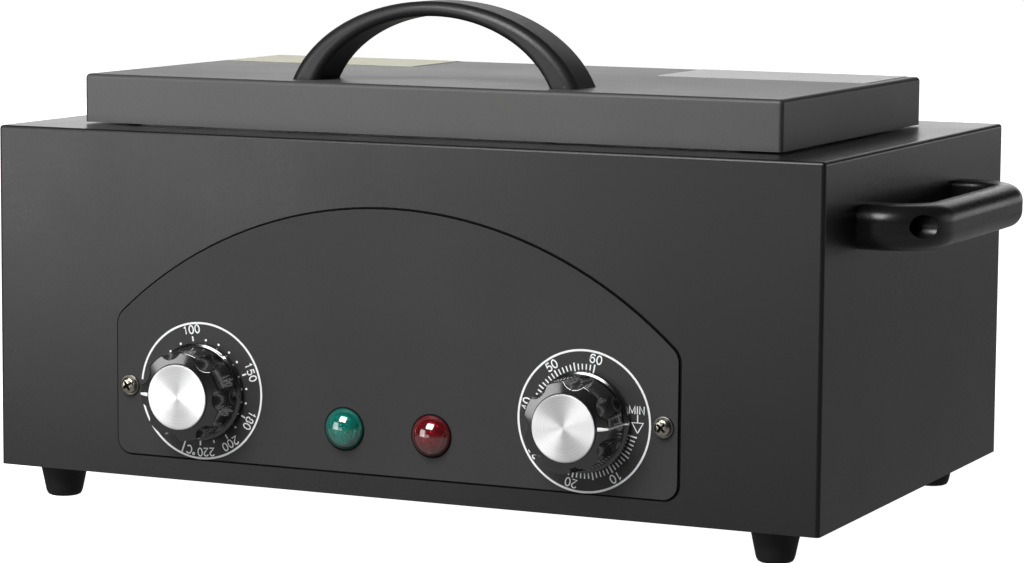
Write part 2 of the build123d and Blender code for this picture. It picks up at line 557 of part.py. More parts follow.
arch = half_ellipse(HANDLE_OUT_A, HANDLE_OUT_B) - half_ellipse(HANDLE_IN_A, HANDLE_IN_B)
lh = Pos(0, HANDLE_Y0 + HANDLE_DEPTH, LID_Z1) * Rot(90, 0, 0) * extrude(arch, HANDLE_DEPTH)
arch_edges = [e for e in lh.edges() if (abs(e.center().Y - HANDLE_Y0) < 0.1 or abs(e.center().Y - HANDLE_Y0 - HANDLE_DEPTH) < 0.1)
              and e.length > 40]
long_out = sorted(arch_edges, key=lambda e: -e.length)[:2]
lh = fillet(long_out, 4.2)
arch_edges = [e for e in lh.edges() if (abs(e.center().Y - HANDLE_Y0) < 0.1 or abs(e.center().Y - HANDLE_Y0 - HANDLE_DEPTH) < 0.1)
              and e.length > 40 and abs(e.center().X) < 1]
long_in = sorted(arch_edges, key=lambda e: e.length)[:2]
lh = fillet(long_in, 2.8)
for sx in (-1, 1):
    lh = lh - cyl_z(sx * HX, HANDLE_YC, LID_Z1 - 2, LID_Z1 + 8.5, 1.95)
put("lid_handle", lh)
put("lid_handle_screws", group([Pos(sx * HX, HANDLE_YC, LID_Z1 - SHEET) * Rot(180, 0, 15) * pan_head(3.9, 2.6, 1.9, 8.8) for sx in (-1, 1)]))

LABEL_T = 0.2
put("yellow_label", rbox(-154.5, -61.0, 30.0, 79.0, LID_Z1, LID_Z1 + LABEL_T, 1.5))
put("grey_label", rbox(57.5, 152.5, 26.0, 79.0, LID_Z1, LID_Z1 + LABEL_T, 1.5))

# ================================================================ hinges
NK = 3
KW = (HINGE_W - 2 * 0.3) / NK
case_leaves, lid_leaves, pins = [], [], []
# the leaves fold close together when the lid is open, so their screws are countersunk flush
for sx in (-1, 1):
    hx0 = sx * HINGE_X - HINGE_W / 2
    barrel_case = cyl_x(HINGE_Y, HINGE_Z, hx0, hx0 + KW, HINGE_R) + cyl_x(HINGE_Y, HINGE_Z, hx0 + 2 * KW + 0.6, hx0 + HINGE_W, HINGE_R)
    leaf_c = bx(hx0, hx0 + HINGE_W, HINGE_Y + HINGE_R + 0.5, HINGE_Y + 18.0, Z1, Z1 + LEAF_T)
    tang = bx(hx0, hx0 + KW, HINGE_Y, HINGE_Y + HINGE_R + 0.5, Z1, Z1 + LEAF_T) \
        + bx(hx0 + 2 * KW + 0.6, hx0 + HINGE_W, HINGE_Y, HINGE_Y + HINGE_R + 0.5, Z1, Z1 + LEAF_T)
    lc = leaf_c + tang + barrel_case
    lc = lc - cyl_x(HINGE_Y, HINGE_Z, hx0 - 1, hx0 + HINGE_W + 1, PIN_R)
    for s2 in (-1, 1):
        lc = lc - Pos(sx * HINGE_X + s2 * HINGE_SCREW_DX, HINGE_SCREW_Y, Z1 + LEAF_T) * flush_sink
    case_leaves.append(lc)
    k0 = hx0 + KW + 0.3
    barrel_lid = cyl_x(HINGE_Y, HINGE_Z, k0, k0 + KW, HINGE_R)
    leaf_l = bx(k0, k0 + KW, LID_Y1 + 0.0, LID_Y1 + LEAF_T, HINGE_Z, HINGE_Z + HINGE_R + 0.5) \
        + bx(hx0, hx0 + HINGE_W, LID_Y1 + 0.0, LID_Y1 + LEAF_T, HINGE_Z + HINGE_R + 0.5, HINGE_Z + 13.5)
    ll = leaf_l + barrel_lid
    ll = ll - cyl_x(HINGE_Y, HINGE_Z, hx0 - 1, hx0 + HINGE_W + 1, PIN_R + 0.06)
    for s2 in (-1, 1):
        ll = ll - Pos(sx * HINGE_X + s2 * HINGE_SCREW_DX, LID_Y1 + LEAF_T, LEAF_SCREW_Z) * Rot(-90, 0, 0) * flush_sink
    lid_leaves.append(ll)
    pins.append(cyl_x(HINGE_Y, HINGE_Z, hx0 - 0.4, hx0 + HINGE_W + 0.4, PIN_R))

put("hinge_case_leaves", group(case_leaves))
put("hinge_lid_leaves", group(lid_leaves))
put("hinge_pins", group(pins))
put("hinge_case_screws", group([
    Pos(sx * HINGE_X + s2 * HINGE_SCREW_DX, HINGE_SCREW_Y, Z1 + LEAF_T) * Rot(0, 0, 30) * flush_screw(7.0)
    for sx in (-1, 1) for s2 in (-1, 1)]))
put("hinge_lid_screws", group([
    Pos(sx * HINGE_X + s2 * HINGE_SCREW_DX, LID_Y1 + LEAF_T, LEAF_SCREW_Z) * Rot(-90, 0, 0) * Rot(0, 0, 30) * flush_screw(5.0)
    for sx in (-1, 1) for s2 in (-1, 1)]))

# ================================================================ power inlet
fl = Pos(0, 0, 0) * extrude(SlotCenterToCenter(2 * INLET_SCREW, 11.0), INLET_FLANGE_T)
fl = fl + Pos(0, 0, INLET_FLANGE_T / 2) * Box(31.0, 24.0, INLET_FLANGE_T)
fl = fillet(fl.faces().sort_by(Axis.Z)[-1].edges(), 0.6)
inl = fl + Pos(0, 0, -11.0) * Box(27.2, 20.2, 22.0)
rec = make_face(Polyline((-12.0, -7.8), (12.0, -7.8), (12.0, 4.0), (8.0, 7.8), (-8.0, 7.8), (-12.0, 4.0), close=True))
inl = inl - Pos(0, 0, INLET_FLANGE_T - 16.0) * extrude(rec, 20)
PINS_C14 = [(-7.0, -1.8), (7.0, -1.8), (0.0, 2.2)]
for px, pz in PINS_C14:
    inl = inl - Pos(px, pz, -18) * Box(2.0, 4.0, 20)
for sx in (-1, 1):
    inl = inl - Pos(sx * INLET_SCREW, 0, 0) * turned([(0, INLET_FLANGE_T + 0.01), (3.01, INLET_FLANGE_T + 0.01), (1.65, INLET_FLANGE_T - 1.35), (1.65, -2), (0, -2)])
to_rear = Pos(INLET_X, YB, INLET_Z) * Rot(-90, 0, 0) * Rot(0, 0, 180)
put("power_inlet", to_rear * inl)
pins3 = []
for px, pz in PINS_C14:
    pin = Pos(px, pz, (INLET_FLANGE_T - 5.0 - 30.0) / 2) * Box(2.0, 4.0, INLET_FLANGE_T - 5.0 + 30.0)
    pins3.append(to_rear * chamfer(pin.faces().sort_by(Axis.Z)[-1].edges(), 0.5))
put("inlet_pins", group(pins3))
countersunk += [to_rear * Pos(sx * INLET_SCREW, 0, INLET_FLANGE_T) * flat_head(2.9, 1.45, 8.5) for sx in (-1, 1)]
put("countersunk_screws", group(countersunk))

# ================================================================ internal wiring, each lead whole on its route
WIRE_R = 1.0
pin_y = YB - 30.0
p_live = (INLET_X - 7.0, pin_y, INLET_Z - 1.8)
p_neut = (INLET_X + 7.0, pin_y, INLET_Z - 1.8)
p_earth = (INLET_X, pin_y, INLET_Z + 2.2)
tim_end = tim_back + 9.0
reg_end = reg_back + 9.0
leads = {
    # inlet to timer
    "wire_live": [(p_live[0], p_live[1], p_live[2]), (p_live[0], 62, p_live[2]), (110, 20, 30), (DIAL_X + 9, -30, 30),
                  (DIAL_X + 9, tim_end + 14, DIAL_Z - 9), (DIAL_X + 9, tim_end, DIAL_Z - 9)],
    # timer to regulator
    "wire_switched": [(DIAL_X - 9, tim_end, DIAL_Z - 9), (DIAL_X - 9, -50, DIAL_Z - 9), (40, -44, 24), (-40, -44, 24),
                      (-DIAL_X + 9, -50, DIAL_Z - 9), (-DIAL_X + 9, reg_end, DIAL_Z - 9)],
    # regulator to heater
    "wire_heater": [(-DIAL_X - 9, reg_end, DIAL_Z - 9), (-DIAL_X - 9, -57, DIAL_Z - 9), (-103, -44, 20), (-112, LID_YC - hy, 27),
                    (-112, LID_YC - hy, 51.5)],
    # inlet to the other end of the heater
    "wire_neutral": [(p_neut[0], p_neut[1], p_neut[2]), (p_neut[0], 64, p_neut[2]), (80, 44, 26), (-90, 50, 26),
                     (-112, LID_YC + hy, 34), (-112, LID_YC + hy, 51.5)],
}
for nm, pts in leads.items():
    radii = []
    for i in range(1, len(pts) - 1):
        a, b, c = (Vector(*pts[i - 1]), Vector(*pts[i]), Vector(*pts[i + 1]))
        l1, l2 = (b - a).length, (c - b).length
        turn = (b - a).get_angle(c - b)
        radii.append(round(0.42 * min(l1, l2) / math.tan(math.radians(max(turn, 4.0)) / 2), 2))
    w = tube(pts, radii, WIRE_R)
    run = FilletPolyline(*pts, radius=radii).length
    print(nm, "bend radii", radii, "length", round(run, 1), "volume over section times length",
          round(w.volume / (math.pi * WIRE_R ** 2 * run), 4))
    put(nm, w)
earth_pts = [p_earth, (p_earth[0], 70, p_earth[2]), (60, 70, 40), (60, 70, Z0 + SHEET + 3.4)]
w = tube(earth_pts, [9.0, 12.0], WIRE_R)
put("wire_earth", w)
put("earth_stud", Pos(60, 70, Z0) * Rot(180, 0, 0) * pan_head(3.4, 2.0, 1.95, 4.2)
    + Pos(60, 70, Z0 + SHEET) * hex_nut(7, 3.2, 1.9))

lo = [min(tuple(s.bounding_box().min)[i] for s in written.values()) for i in range(3)]
hi = [max(tuple(s.bounding_box().max)[i] for s in written.values()) for i in range(3)]
print("nodes", len(written), "box", [round(v, 3) for v in lo], [round(v, 3) for v in hi], "Y_SHIFT", Y_SHIFT)
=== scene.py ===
import bpy
import bmesh
import math
from mathutils import Matrix, Vector


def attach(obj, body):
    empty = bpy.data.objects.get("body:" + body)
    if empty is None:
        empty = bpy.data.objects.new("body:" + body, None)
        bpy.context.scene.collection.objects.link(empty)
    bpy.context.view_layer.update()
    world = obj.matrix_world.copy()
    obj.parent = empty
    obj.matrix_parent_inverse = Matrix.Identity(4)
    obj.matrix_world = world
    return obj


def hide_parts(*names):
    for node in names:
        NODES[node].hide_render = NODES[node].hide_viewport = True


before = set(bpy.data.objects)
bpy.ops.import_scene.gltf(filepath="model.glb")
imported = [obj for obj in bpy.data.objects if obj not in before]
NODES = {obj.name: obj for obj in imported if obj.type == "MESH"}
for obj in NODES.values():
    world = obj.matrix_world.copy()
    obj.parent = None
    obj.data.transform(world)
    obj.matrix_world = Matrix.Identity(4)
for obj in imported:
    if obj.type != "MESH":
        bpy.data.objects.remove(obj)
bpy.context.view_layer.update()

MM = 0.001
YS = 9.45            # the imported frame's Y offset from the cabinet's middle, in mm
PANEL_Y = -115.0 + YS
DIAL_X = 86.5
DIAL_Z = 52.4
LAMP_X = 19.7
LAMP_Z = 41.5
SCREW_X = 120.5
SCREW_Z = 52.5
LID_TOP = 180.3

scene = bpy.context.scene


# ------------------------------------------------------------------ camera
def place_camera():
    yaw, pitch, roll = math.radians(24.73), math.radians(6.81), math.radians(0.45)
    fwd = Vector((-math.sin(yaw) * math.cos(pitch), math.cos(yaw) * math.cos(pitch), -math.sin(pitch)))
    right = Vector((math.cos(yaw), math.sin(yaw), 0.0))
    up = right.cross(fwd)
    r2 = math.cos(roll) * right + math.sin(roll) * up
    u2 = -math.sin(roll) * right + math.cos(roll) * up
    cam_data = bpy.data.cameras.new("camera")
    cam = bpy.data.objects.new("camera", cam_data)
    scene.collection.objects.link(cam)
    cam_data.sensor_fit = 'HORIZONTAL'
    cam_data.sensor_width = 36.0
    cam_data.lens = 125.0
    cam_data.clip_start = 0.01
    cam_data.clip_end = 100.0
    m = Matrix((r2, u2, -fwd)).transposed().to_4x4()
    m.translation = Vector((639.93, -1375.79, 273.12)) * MM
    cam.matrix_world = m
    scene.camera = cam


place_camera()
scene.view_settings.view_transform = 'Standard'
scene.view_settings.look = 'None'


# ------------------------------------------------------------------ node helpers
class Nodes:
    def __init__(self, name):
        self.mat = bpy.data.materials.new(name)
        self.mat.use_nodes = True
        self.t = self.mat.node_tree
        self.t.nodes.clear()
        self.out = self.t.nodes.new("ShaderNodeOutputMaterial")
        self.bsdf = self.t.nodes.new("ShaderNodeBsdfPrincipled")
        self.t.links.new(self.bsdf.outputs[0], self.out.inputs["Surface"])
        self.co = self.t.nodes.new("ShaderNodeTexCoord")

    def n(self, kind, **props):
        node = self.t.nodes.new(kind)
        for k, v in props.items():
            setattr(node, k, v)
        return node

    def link(self, a, b):
        self.t.links.new(a, b)

    def set(self, **vals):
        for k, v in vals.items():
            self.bsdf.inputs[k.replace("_", " ")].default_value = v

    def noise(self, scale, detail=3.0, rough=0.5, coord="Object", stretch=None, distortion=0.0):
        tex = self.n("ShaderNodeTexNoise")
        tex.inputs["Scale"].default_value = scale
        tex.inputs["Detail"].default_value = detail
        tex.inputs["Roughness"].default_value = rough
        tex.inputs["Distortion"].default_value = distortion
        src = self.co.outputs[coord]
        if stretch:
            mp = self.n("ShaderNodeMapping")
            mp.inputs["Scale"].default_value = stretch
            self.link(src, mp.inputs["Vector"])
            src = mp.outputs[0]
        self.link(src, tex.inputs["Vector"])
        return tex.outputs["Fac"]

    def ramp(self, fac, stops):
        r = self.n("ShaderNodeValToRGB")
        el = r.color_ramp.elements
        while len(el) < len(stops):
            el.new(0.5)
        for e, (p, c) in zip(el, stops):
            e.position = p
            e.color = (c[0], c[1], c[2], 1.0) if isinstance(c, (tuple, list)) else (c, c, c, 1.0)
        self.link(fac, r.inputs["Fac"])
        return r.outputs["Color"]

    def maprange(self, v, a, b, c, d, smooth=False):
        m = self.n("ShaderNodeMapRange")
        if smooth:
            m.interpolation_type = 'SMOOTHSTEP'
        for i, x in zip(("From Min", "From Max", "To Min", "To Max"), (a, b, c, d)):
            m.inputs[i].default_value = x
        self.link(v, m.inputs["Value"])
        return m.outputs["Result"]

    def math(self, op, a, b=None, clamp=False):
        m = self.n("ShaderNodeMath", operation=op, use_clamp=clamp)
        for i, x in enumerate((a, b)):
            if x is None:
                continue
            if isinstance(x, (int, float)):
                m.inputs[i].default_value = x
            else:
                self.link(x, m.inputs[i])
        return m.outputs[0]

    def mix(self, fac, a, b):
        m = self.n("ShaderNodeMix", data_type='RGBA')
        for sock, x in ((m.inputs[0], fac), (m.inputs[6], a), (m.inputs[7], b)):
            if isinstance(x, (int, float)):
                sock.default_value = x
            elif isinstance(x, (tuple, list)):
                sock.default_value = (x[0], x[1], x[2], 1.0)
            else:
                self.link(x, sock)
        return m.outputs[2]

    def bump(self, height, strength, dist, base=None):
        b = self.n("ShaderNodeBump")
        b.inputs["Strength"].default_value = strength
        b.inputs["Distance"].default_value = dist
        self.link(height, b.inputs["Height"])
        if base is not None:
            self.link(base, b.inputs["Normal"])
        self.link(b.outputs[0], self.bsdf.inputs["Normal"])
        return b.outputs[0]

    def to(self, value, socket):
        self.link(value, self.bsdf.inputs[socket])


def bend_mask(m):
    """1 on the folds of a sheet, 0 on its flat faces, from the object's own normals."""
    sep = m.n("ShaderNodeSeparateXYZ")
    m.link(m.co.outputs["Normal"], sep.inputs[0])
    ax = [m.math('ABSOLUTE', sep.outputs[i]) for i in range(3)]
    big = m.math('MAXIMUM', m.math('MAXIMUM', ax[0], ax[1]), ax[2])
    return m.maprange(big, 0.985, 0.90, 0.0, 1.0, smooth=True)


def coat(name, base, rough, spec, fold_painted_shade=0.5, grain=0.10, painted_dark_edges=False):
    """Satin black powder coat: fine orange peel, faint patches in gloss, rougher on the folds, with painted shade
    darkening the folds' colour.
    """
    m = Nodes(name)
    m.set(Metallic=0.0)
    m.bsdf.inputs["Specular IOR Level"].default_value = spec
    cloud = m.noise(14.0, 4.0, 0.55)
    fine = m.noise(900.0, 2.0, 0.6)
    streak = m.noise(9.0, 3.0, 0.5, stretch=(0.35, 0.35, 2.2))
    tone = m.math('ADD', m.maprange(cloud, 0.3, 0.7, 0.90, 1.08), m.maprange(streak, 0.3, 0.7, -0.05, 0.05))
    speck = m.maprange(fine, 0.35, 0.68, 0.95, 1.05)
    tone = m.math('MULTIPLY', tone, speck)
    fold = bend_mask(m)
    # painted shade: the base colour is darkened on the folds
    tone = m.math('MULTIPLY', tone, m.maprange(fold, 0.0, 1.0, 1.0, 1.0 - fold_painted_shade))
    if painted_dark_edges:
        # painted shade: the plate's side faces are made almost black and less glossy, standing in for the dark shadow
        # line at its edges
        sep = m.n("ShaderNodeSeparateXYZ")
        m.link(m.co.outputs["Normal"], sep.inputs[0])
        edge = m.maprange(m.math('ABSOLUTE', sep.outputs[1]), 0.7, 0.95, 0.06, 1.0)
        tone = m.math('MULTIPLY', tone, edge)
        m.to(m.math('MULTIPLY', edge, spec), "Specular IOR Level")
    comb = m.n("ShaderNodeCombineXYZ")
    for i in range(3):
        m.link(m.math('MULTIPLY', tone, base[i]), comb.inputs[i])
    m.to(comb.outputs[0], "Base Color")
    r = m.math('ADD', m.maprange(cloud, 0.25, 0.75, rough - 0.035, rough + 0.045), m.maprange(fine, 0.3, 0.7, -0.02, 0.03))
    r = m.math('ADD', r, m.maprange(fold, 0.0, 1.0, 0.0, 0.12))
    m.to(r, "Roughness")
    peel = m.noise(520.0, 3.0, 0.55)
    wave = m.noise(7.0, 1.0, 0.4)
    b0 = m.n("ShaderNodeBump")
    b0.inputs["Strength"].default_value = 0.35
    b0.inputs["Distance"].default_value = 0.0012
    m.link(wave, b0.inputs["Height"])
    m.bump(peel, grain, 0.00025, b0.outputs[0])
    return m.mat


def plastic(name, base, rough, spec=0.5, grain_scale=700.0, grain=0.12, spread=0.06, coat_w=0.0, coat_r=0.1, tint=0.12, coat_ior=1.5):
    m = Nodes(name)
    m.bsdf.inputs["Specular IOR Level"].default_value = spec
    if coat_w:
        m.bsdf.inputs["Coat Weight"].default_value = coat_w
        m.bsdf.inputs["Coat Roughness"].default_value = coat_r
        m.bsdf.inputs["Coat IOR"].default_value = coat_ior
    cloud = m.noise(35.0, 4.0, 0.6)
    fine = m.noise(grain_scale, 3.0, 0.6)
    lo = [c * (1 - tint) for c in base]
    hi = [c * (1 + tint) for c in base]
    m.to(m.ramp(m.math('ADD', m.math('MULTIPLY', cloud, 0.6), m.math('MULTIPLY', fine, 0.4)), ((0.3, lo), (0.7, hi))), "Base Color")
    m.to(m.math('ADD', m.maprange(cloud, 0.3, 0.7, rough - spread, rough + spread), m.maprange(fine, 0.3, 0.7, -0.03, 0.03)), "Roughness")
    m.bump(fine, grain, 0.0002)
    return m.mat


def metal(name, base, rough, stretch=None, grain_scale=500.0, grain=0.08, spread=0.08, tint=0.06, blotch=45.0, aniso=0.0):
    m = Nodes(name)
    m.set(Metallic=1.0)
    if aniso:
        m.set(Anisotropic=aniso)
    cloud = m.noise(blotch, 4.0, 0.6)
    fine = m.noise(grain_scale, 2.0, 0.6, stretch=stretch)
    lo = [c * (1 - tint) for c in base]
    hi = [min(1.0, c * (1 + tint)) for c in base]
    m.to(m.ramp(m.math('ADD', m.math('MULTIPLY', cloud, 0.5), m.math('MULTIPLY', fine, 0.5)), ((0.3, lo), (0.7, hi))), "Base Color")
    m.to(m.math('ADD', m.maprange(cloud, 0.3, 0.7, rough - spread, rough + spread), m.maprange(fine, 0.3, 0.7, -0.04, 0.05)), "Roughness")
    m.bump(fine, grain, 0.00012)
    return m.mat


def cap_metal(name, axis_x, axis_z):
    """Spun aluminium: fine turning rings about the knob's axis, so the light spreads in a bow tie."""
    m = Nodes(name)
    m.set(Metallic=1.0, Anisotropic=0.82)
    mp = m.n("ShaderNodeMapping")
    mp.inputs["Location"].default_value = (-axis_x * MM, 0.0, -axis_z * MM)
    m.link(m.co.outputs["Object"], mp.inputs["Vector"])
    sep = m.n("ShaderNodeSeparateXYZ")
    m.link(mp.outputs[0], sep.inputs[0])
    rad = m.math('SQRT', m.math('ADD', m.math('POWER', sep.outputs[0], 2.0), m.math('POWER', sep.outputs[2], 2.0)))
    comb = m.n("ShaderNodeCombineXYZ")
    m.link(m.math('MULTIPLY', rad, 1.0), comb.inputs[0])
    ring = m.n("ShaderNodeTexNoise", noise_dimensions='1D')
    ring.inputs["Scale"].default_value = 9000.0
    ring.inputs["Detail"].default_value = 4.0
    ring.inputs["Roughness"].default_value = 0.7
    m.link(rad, ring.inputs["W"])
    wide = m.n("ShaderNodeTexNoise", noise_dimensions='1D')
    wide.inputs["Scale"].default_value = 1500.0
    wide.inputs["Detail"].default_value = 2.0
    m.link(rad, wide.inputs["W"])
    both = m.math('ADD', m.math('MULTIPLY', ring.outputs["Fac"], 0.6), m.math('MULTIPLY', wide.outputs["Fac"], 0.4))
    m.to(m.ramp(both, ((0.25, (0.80, 0.80, 0.81)), (0.75, (0.97, 0.97, 0.975)))), "Base Color")
    m.to(m.maprange(both, 0.3, 0.7, 0.27, 0.40), "Roughness")
    tan = m.n("ShaderNodeTangent", direction_type='RADIAL', axis='Y')
    m.link(tan.outputs[0], m.bsdf.inputs["Tangent"])
    m.bump(both, 0.22, 0.00004)
    return m.mat


def lens_plastic(name, colour, deep):
    """Tinted clear plastic of an indicator lens."""
    m = Nodes(name)
    m.bsdf.inputs["Transmission Weight"].default_value = 0.72
    m.bsdf.inputs["IOR"].default_value = 1.52
    m.bsdf.inputs["Coat Weight"].default_value = 1.0
    m.bsdf.inputs["Coat IOR"].default_value = 1.95
    m.bsdf.inputs["Coat Roughness"].default_value = 0.03
    cloud = m.noise(420.0, 3.0, 0.6)
    m.to(m.ramp(cloud, ((0.3, deep), (0.7, colour))), "Base Color")
    m.to(m.maprange(cloud, 0.3, 0.7, 0.10, 0.16), "Roughness")
    return m.mat


def inner_lens(name, colour, deep):
    """The moulded prisms inside the lens, seen through it."""
    m = Nodes(name)
    m.bsdf.inputs["Specular IOR Level"].default_value = 0.8
    v = m.n("ShaderNodeTexVoronoi")
    v.inputs["Scale"].default_value = 620.0
    m.link(m.co.outputs["Object"], v.inputs["Vector"])
    m.to(m.ramp(v.outputs["Distance"], ((0.0, colour), (0.6, deep))), "Base Color")
    m.to(m.maprange(v.outputs["Distance"], 0.0, 0.7, 0.16, 0.3), "Roughness")
    m.bump(v.outputs["Distance"], 0.5, 0.0003)
    return m.mat


def print_ink(name, base):
    m = Nodes(name)
    m.bsdf.inputs["Specular IOR Level"].default_value = 0.3
    cloud = m.noise(600.0, 3.0, 0.6)
    m.to(m.ramp(cloud, ((0.25, [c * 0.92 for c in base]), (0.65, base))), "Base Color")
    m.to(m.maprange(cloud, 0.3, 0.7, 0.5, 0.62), "Roughness")
    m.bump(cloud, 0.08, 0.0001)
    return m.mat


def paper(name, base):
    """Self-adhesive label stock with a faint fibre."""
    m = Nodes(name)
    m.bsdf.inputs["Specular IOR Level"].default_value = 0.35
    cloud = m.noise(22.0, 4.0, 0.6)
    fibre = m.noise(420.0, 4.0, 0.7, stretch=(1.0, 0.25, 1.0))
    f = m.math('ADD', m.math('MULTIPLY', cloud, 0.6), m.math('MULTIPLY', fibre, 0.4))
    m.to(m.ramp(f, ((0.3, [c * 0.93 for c in base]), (0.7, base))), "Base Color")
    m.to(m.maprange(fibre, 0.3, 0.7, 0.42, 0.56), "Roughness")
    m.bump(fibre, 0.06, 0.0001)
    return m.mat


def wool(name, base):
    m = Nodes(name)
    m.bsdf.inputs["Specular IOR Level"].default_value = 0.15
    a = m.noise(260.0, 5.0, 0.7, stretch=(1.0, 1.0, 0.3))
    b = m.noise(60.0, 4.0, 0.6)
    f = m.math('ADD', m.math('MULTIPLY', a, 0.6), m.math('MULTIPLY', b, 0.4))
    m.to(m.ramp(f, ((0.3, [c * 0.72 for c in base]), (0.7, base))), "Base Color")
    m.to(m.maprange(a, 0.3, 0.7, 0.85, 1.0), "Roughness")
    m.bump(a, 0.7, 0.0008)
    return m.mat


def glass(name):
    m = Nodes(name)
    m.bsdf.inputs["Transmission Weight"].default_value = 0.95
    m.bsdf.inputs["IOR"].default_value = 1.5
    c = m.noise(200.0, 2.0, 0.5)
    m.to(m.ramp(c, ((0.3, (0.95, 0.90, 0.84)), (0.7, (0.98, 0.96, 0.92)))), "Base Color")
    m.to(m.maprange(c, 0.3, 0.7, 0.02, 0.06), "Roughness")
    return m.mat


# ------------------------------------------------------------------ materials
MAT = {
    # painted light and shade: case and lid share one black powder coat, but the case's base colour is painted darker
    # and the lid's painted lighter
    "case_coat_painted_darker": coat("case_coat_painted_darker", (0.0035, 0.0035, 0.0035), 0.30, 0.57),
    "lid_coat_painted_lighter": coat("lid_coat_painted_lighter", (0.072, 0.072, 0.071), 0.42, 0.58),
    "panel_coat": coat("panel_coat", (0.044, 0.044, 0.044), 0.50, 0.16, grain=0.05, painted_dark_edges=True),
    "plated": metal("plated_sheet", (0.62, 0.63, 0.64), 0.34, grain_scale=260.0, blotch=60.0, tint=0.12),
    "screw_nickel": metal("screw_nickel", (0.50, 0.46, 0.40), 0.22, grain_scale=900.0, grain=0.12, tint=0.16),
    "washer_dark": metal("washer_dark", (0.17, 0.165, 0.15), 0.30, grain_scale=900.0, grain=0.10, tint=0.2),
    # painted shade: dark metal for the screws' cross recesses
    "recess": metal("screw_recess_painted_shade", (0.05, 0.045, 0.035), 0.5, grain_scale=900.0, grain=0.10, tint=0.3),
    "zinc": metal("zinc_fastener", (0.66, 0.66, 0.66), 0.30, grain_scale=700.0, tint=0.12),
    "dark_screw": metal("dark_screw", (0.16, 0.16, 0.16), 0.36, grain_scale=700.0, tint=0.2),
    "shaft": metal("turned_shaft", (0.55, 0.55, 0.55), 0.28, stretch=(1.0, 6.0, 1.0)),
    "phenolic_cream": plastic("control_case", (0.60, 0.57, 0.48), 0.45),
    "brass": metal("tinned_brass", (0.78, 0.62, 0.30), 0.30),
    "bulb_glass": glass("bulb_glass"),
    "nylon_black": plastic("nylon_black", (0.03, 0.03, 0.03), 0.5),
    "stainless": metal("stainless_sheet", (0.70, 0.70, 0.71), 0.26, stretch=(1.0, 26.0, 26.0), grain_scale=60.0, grain=0.10, tint=0.07, aniso=0.35),
    "tray_steel": metal("tray_steel", (0.74, 0.74, 0.75), 0.22, stretch=(1.0, 20.0, 20.0), grain_scale=60.0, tint=0.05, aniso=0.3),
    "heater": metal("heater_sheath", (0.34, 0.31, 0.28), 0.5, tint=0.3, blotch=90.0),
    "copper": metal("sensor_copper", (0.72, 0.42, 0.26), 0.3),
    "wool": wool("fibre_wool", (0.80, 0.76, 0.62)),
    "foot": plastic("foot_rubber", (0.0105, 0.0105, 0.011), 0.62, spec=0.3, grain_scale=450.0, grain=0.25),
    "side_grip": plastic("side_grip", (0.009, 0.009, 0.0092), 0.30, spec=0.5, grain_scale=800.0, grain=0.05, spread=0.04),
    "lid_grip": plastic("lid_grip", (0.012, 0.012, 0.0125), 0.42, spec=0.5, grain_scale=650.0, grain=0.22, spread=0.05),
    # black rubber of the lens bezels, also used for the painted shadow strip round the panel
    "black_rubber_and_shadow": plastic("black_rubber_and_painted_shadow", (0.0016, 0.0016, 0.0016), 0.7, spec=0.15),
    "inlet": plastic("inlet_plastic", (0.02, 0.02, 0.02), 0.42),
    "bakelite": plastic("bakelite", (0.004, 0.004, 0.0042), 0.17, spec=0.9, grain_scale=500.0, grain=0.0, spread=0.01, coat_w=0.7, coat_r=0.12, coat_ior=1.9),
    "label_yellow": paper("label_yellow", (0.70, 0.68, 0.52)),
    "label_grey": paper("label_grey", (0.62, 0.62, 0.62)),
    "lead_brown": plastic("lead_brown", (0.16, 0.07, 0.03), 0.45),
    "lead_white": plastic("lead_white", (0.75, 0.74, 0.70), 0.6),
    "lead_blue": plastic("lead_blue", (0.03, 0.10, 0.40), 0.45),
    "lead_green": plastic("lead_green", (0.05, 0.30, 0.09), 0.45),
    "ink": print_ink("dial_ink", (0.95, 0.96, 0.96)),
    "cap_left": cap_metal("cap_left", -DIAL_X, DIAL_Z),
    "cap_right": cap_metal("cap_right", DIAL_X, DIAL_Z),
    "green_clear": lens_plastic("green_clear", (0.01, 0.50, 0.38), (0.004, 0.30, 0.24)),
    "red_clear": lens_plastic("red_clear", (0.46, 0.014, 0.025), (0.26, 0.006, 0.012)),
    "green_inner": inner_lens("green_inner", (0.03, 0.42, 0.32), (0.002, 0.07, 0.06)),
    "red_inner": inner_lens("red_inner", (0.34, 0.02, 0.03), (0.05, 0.002, 0.004)),
}

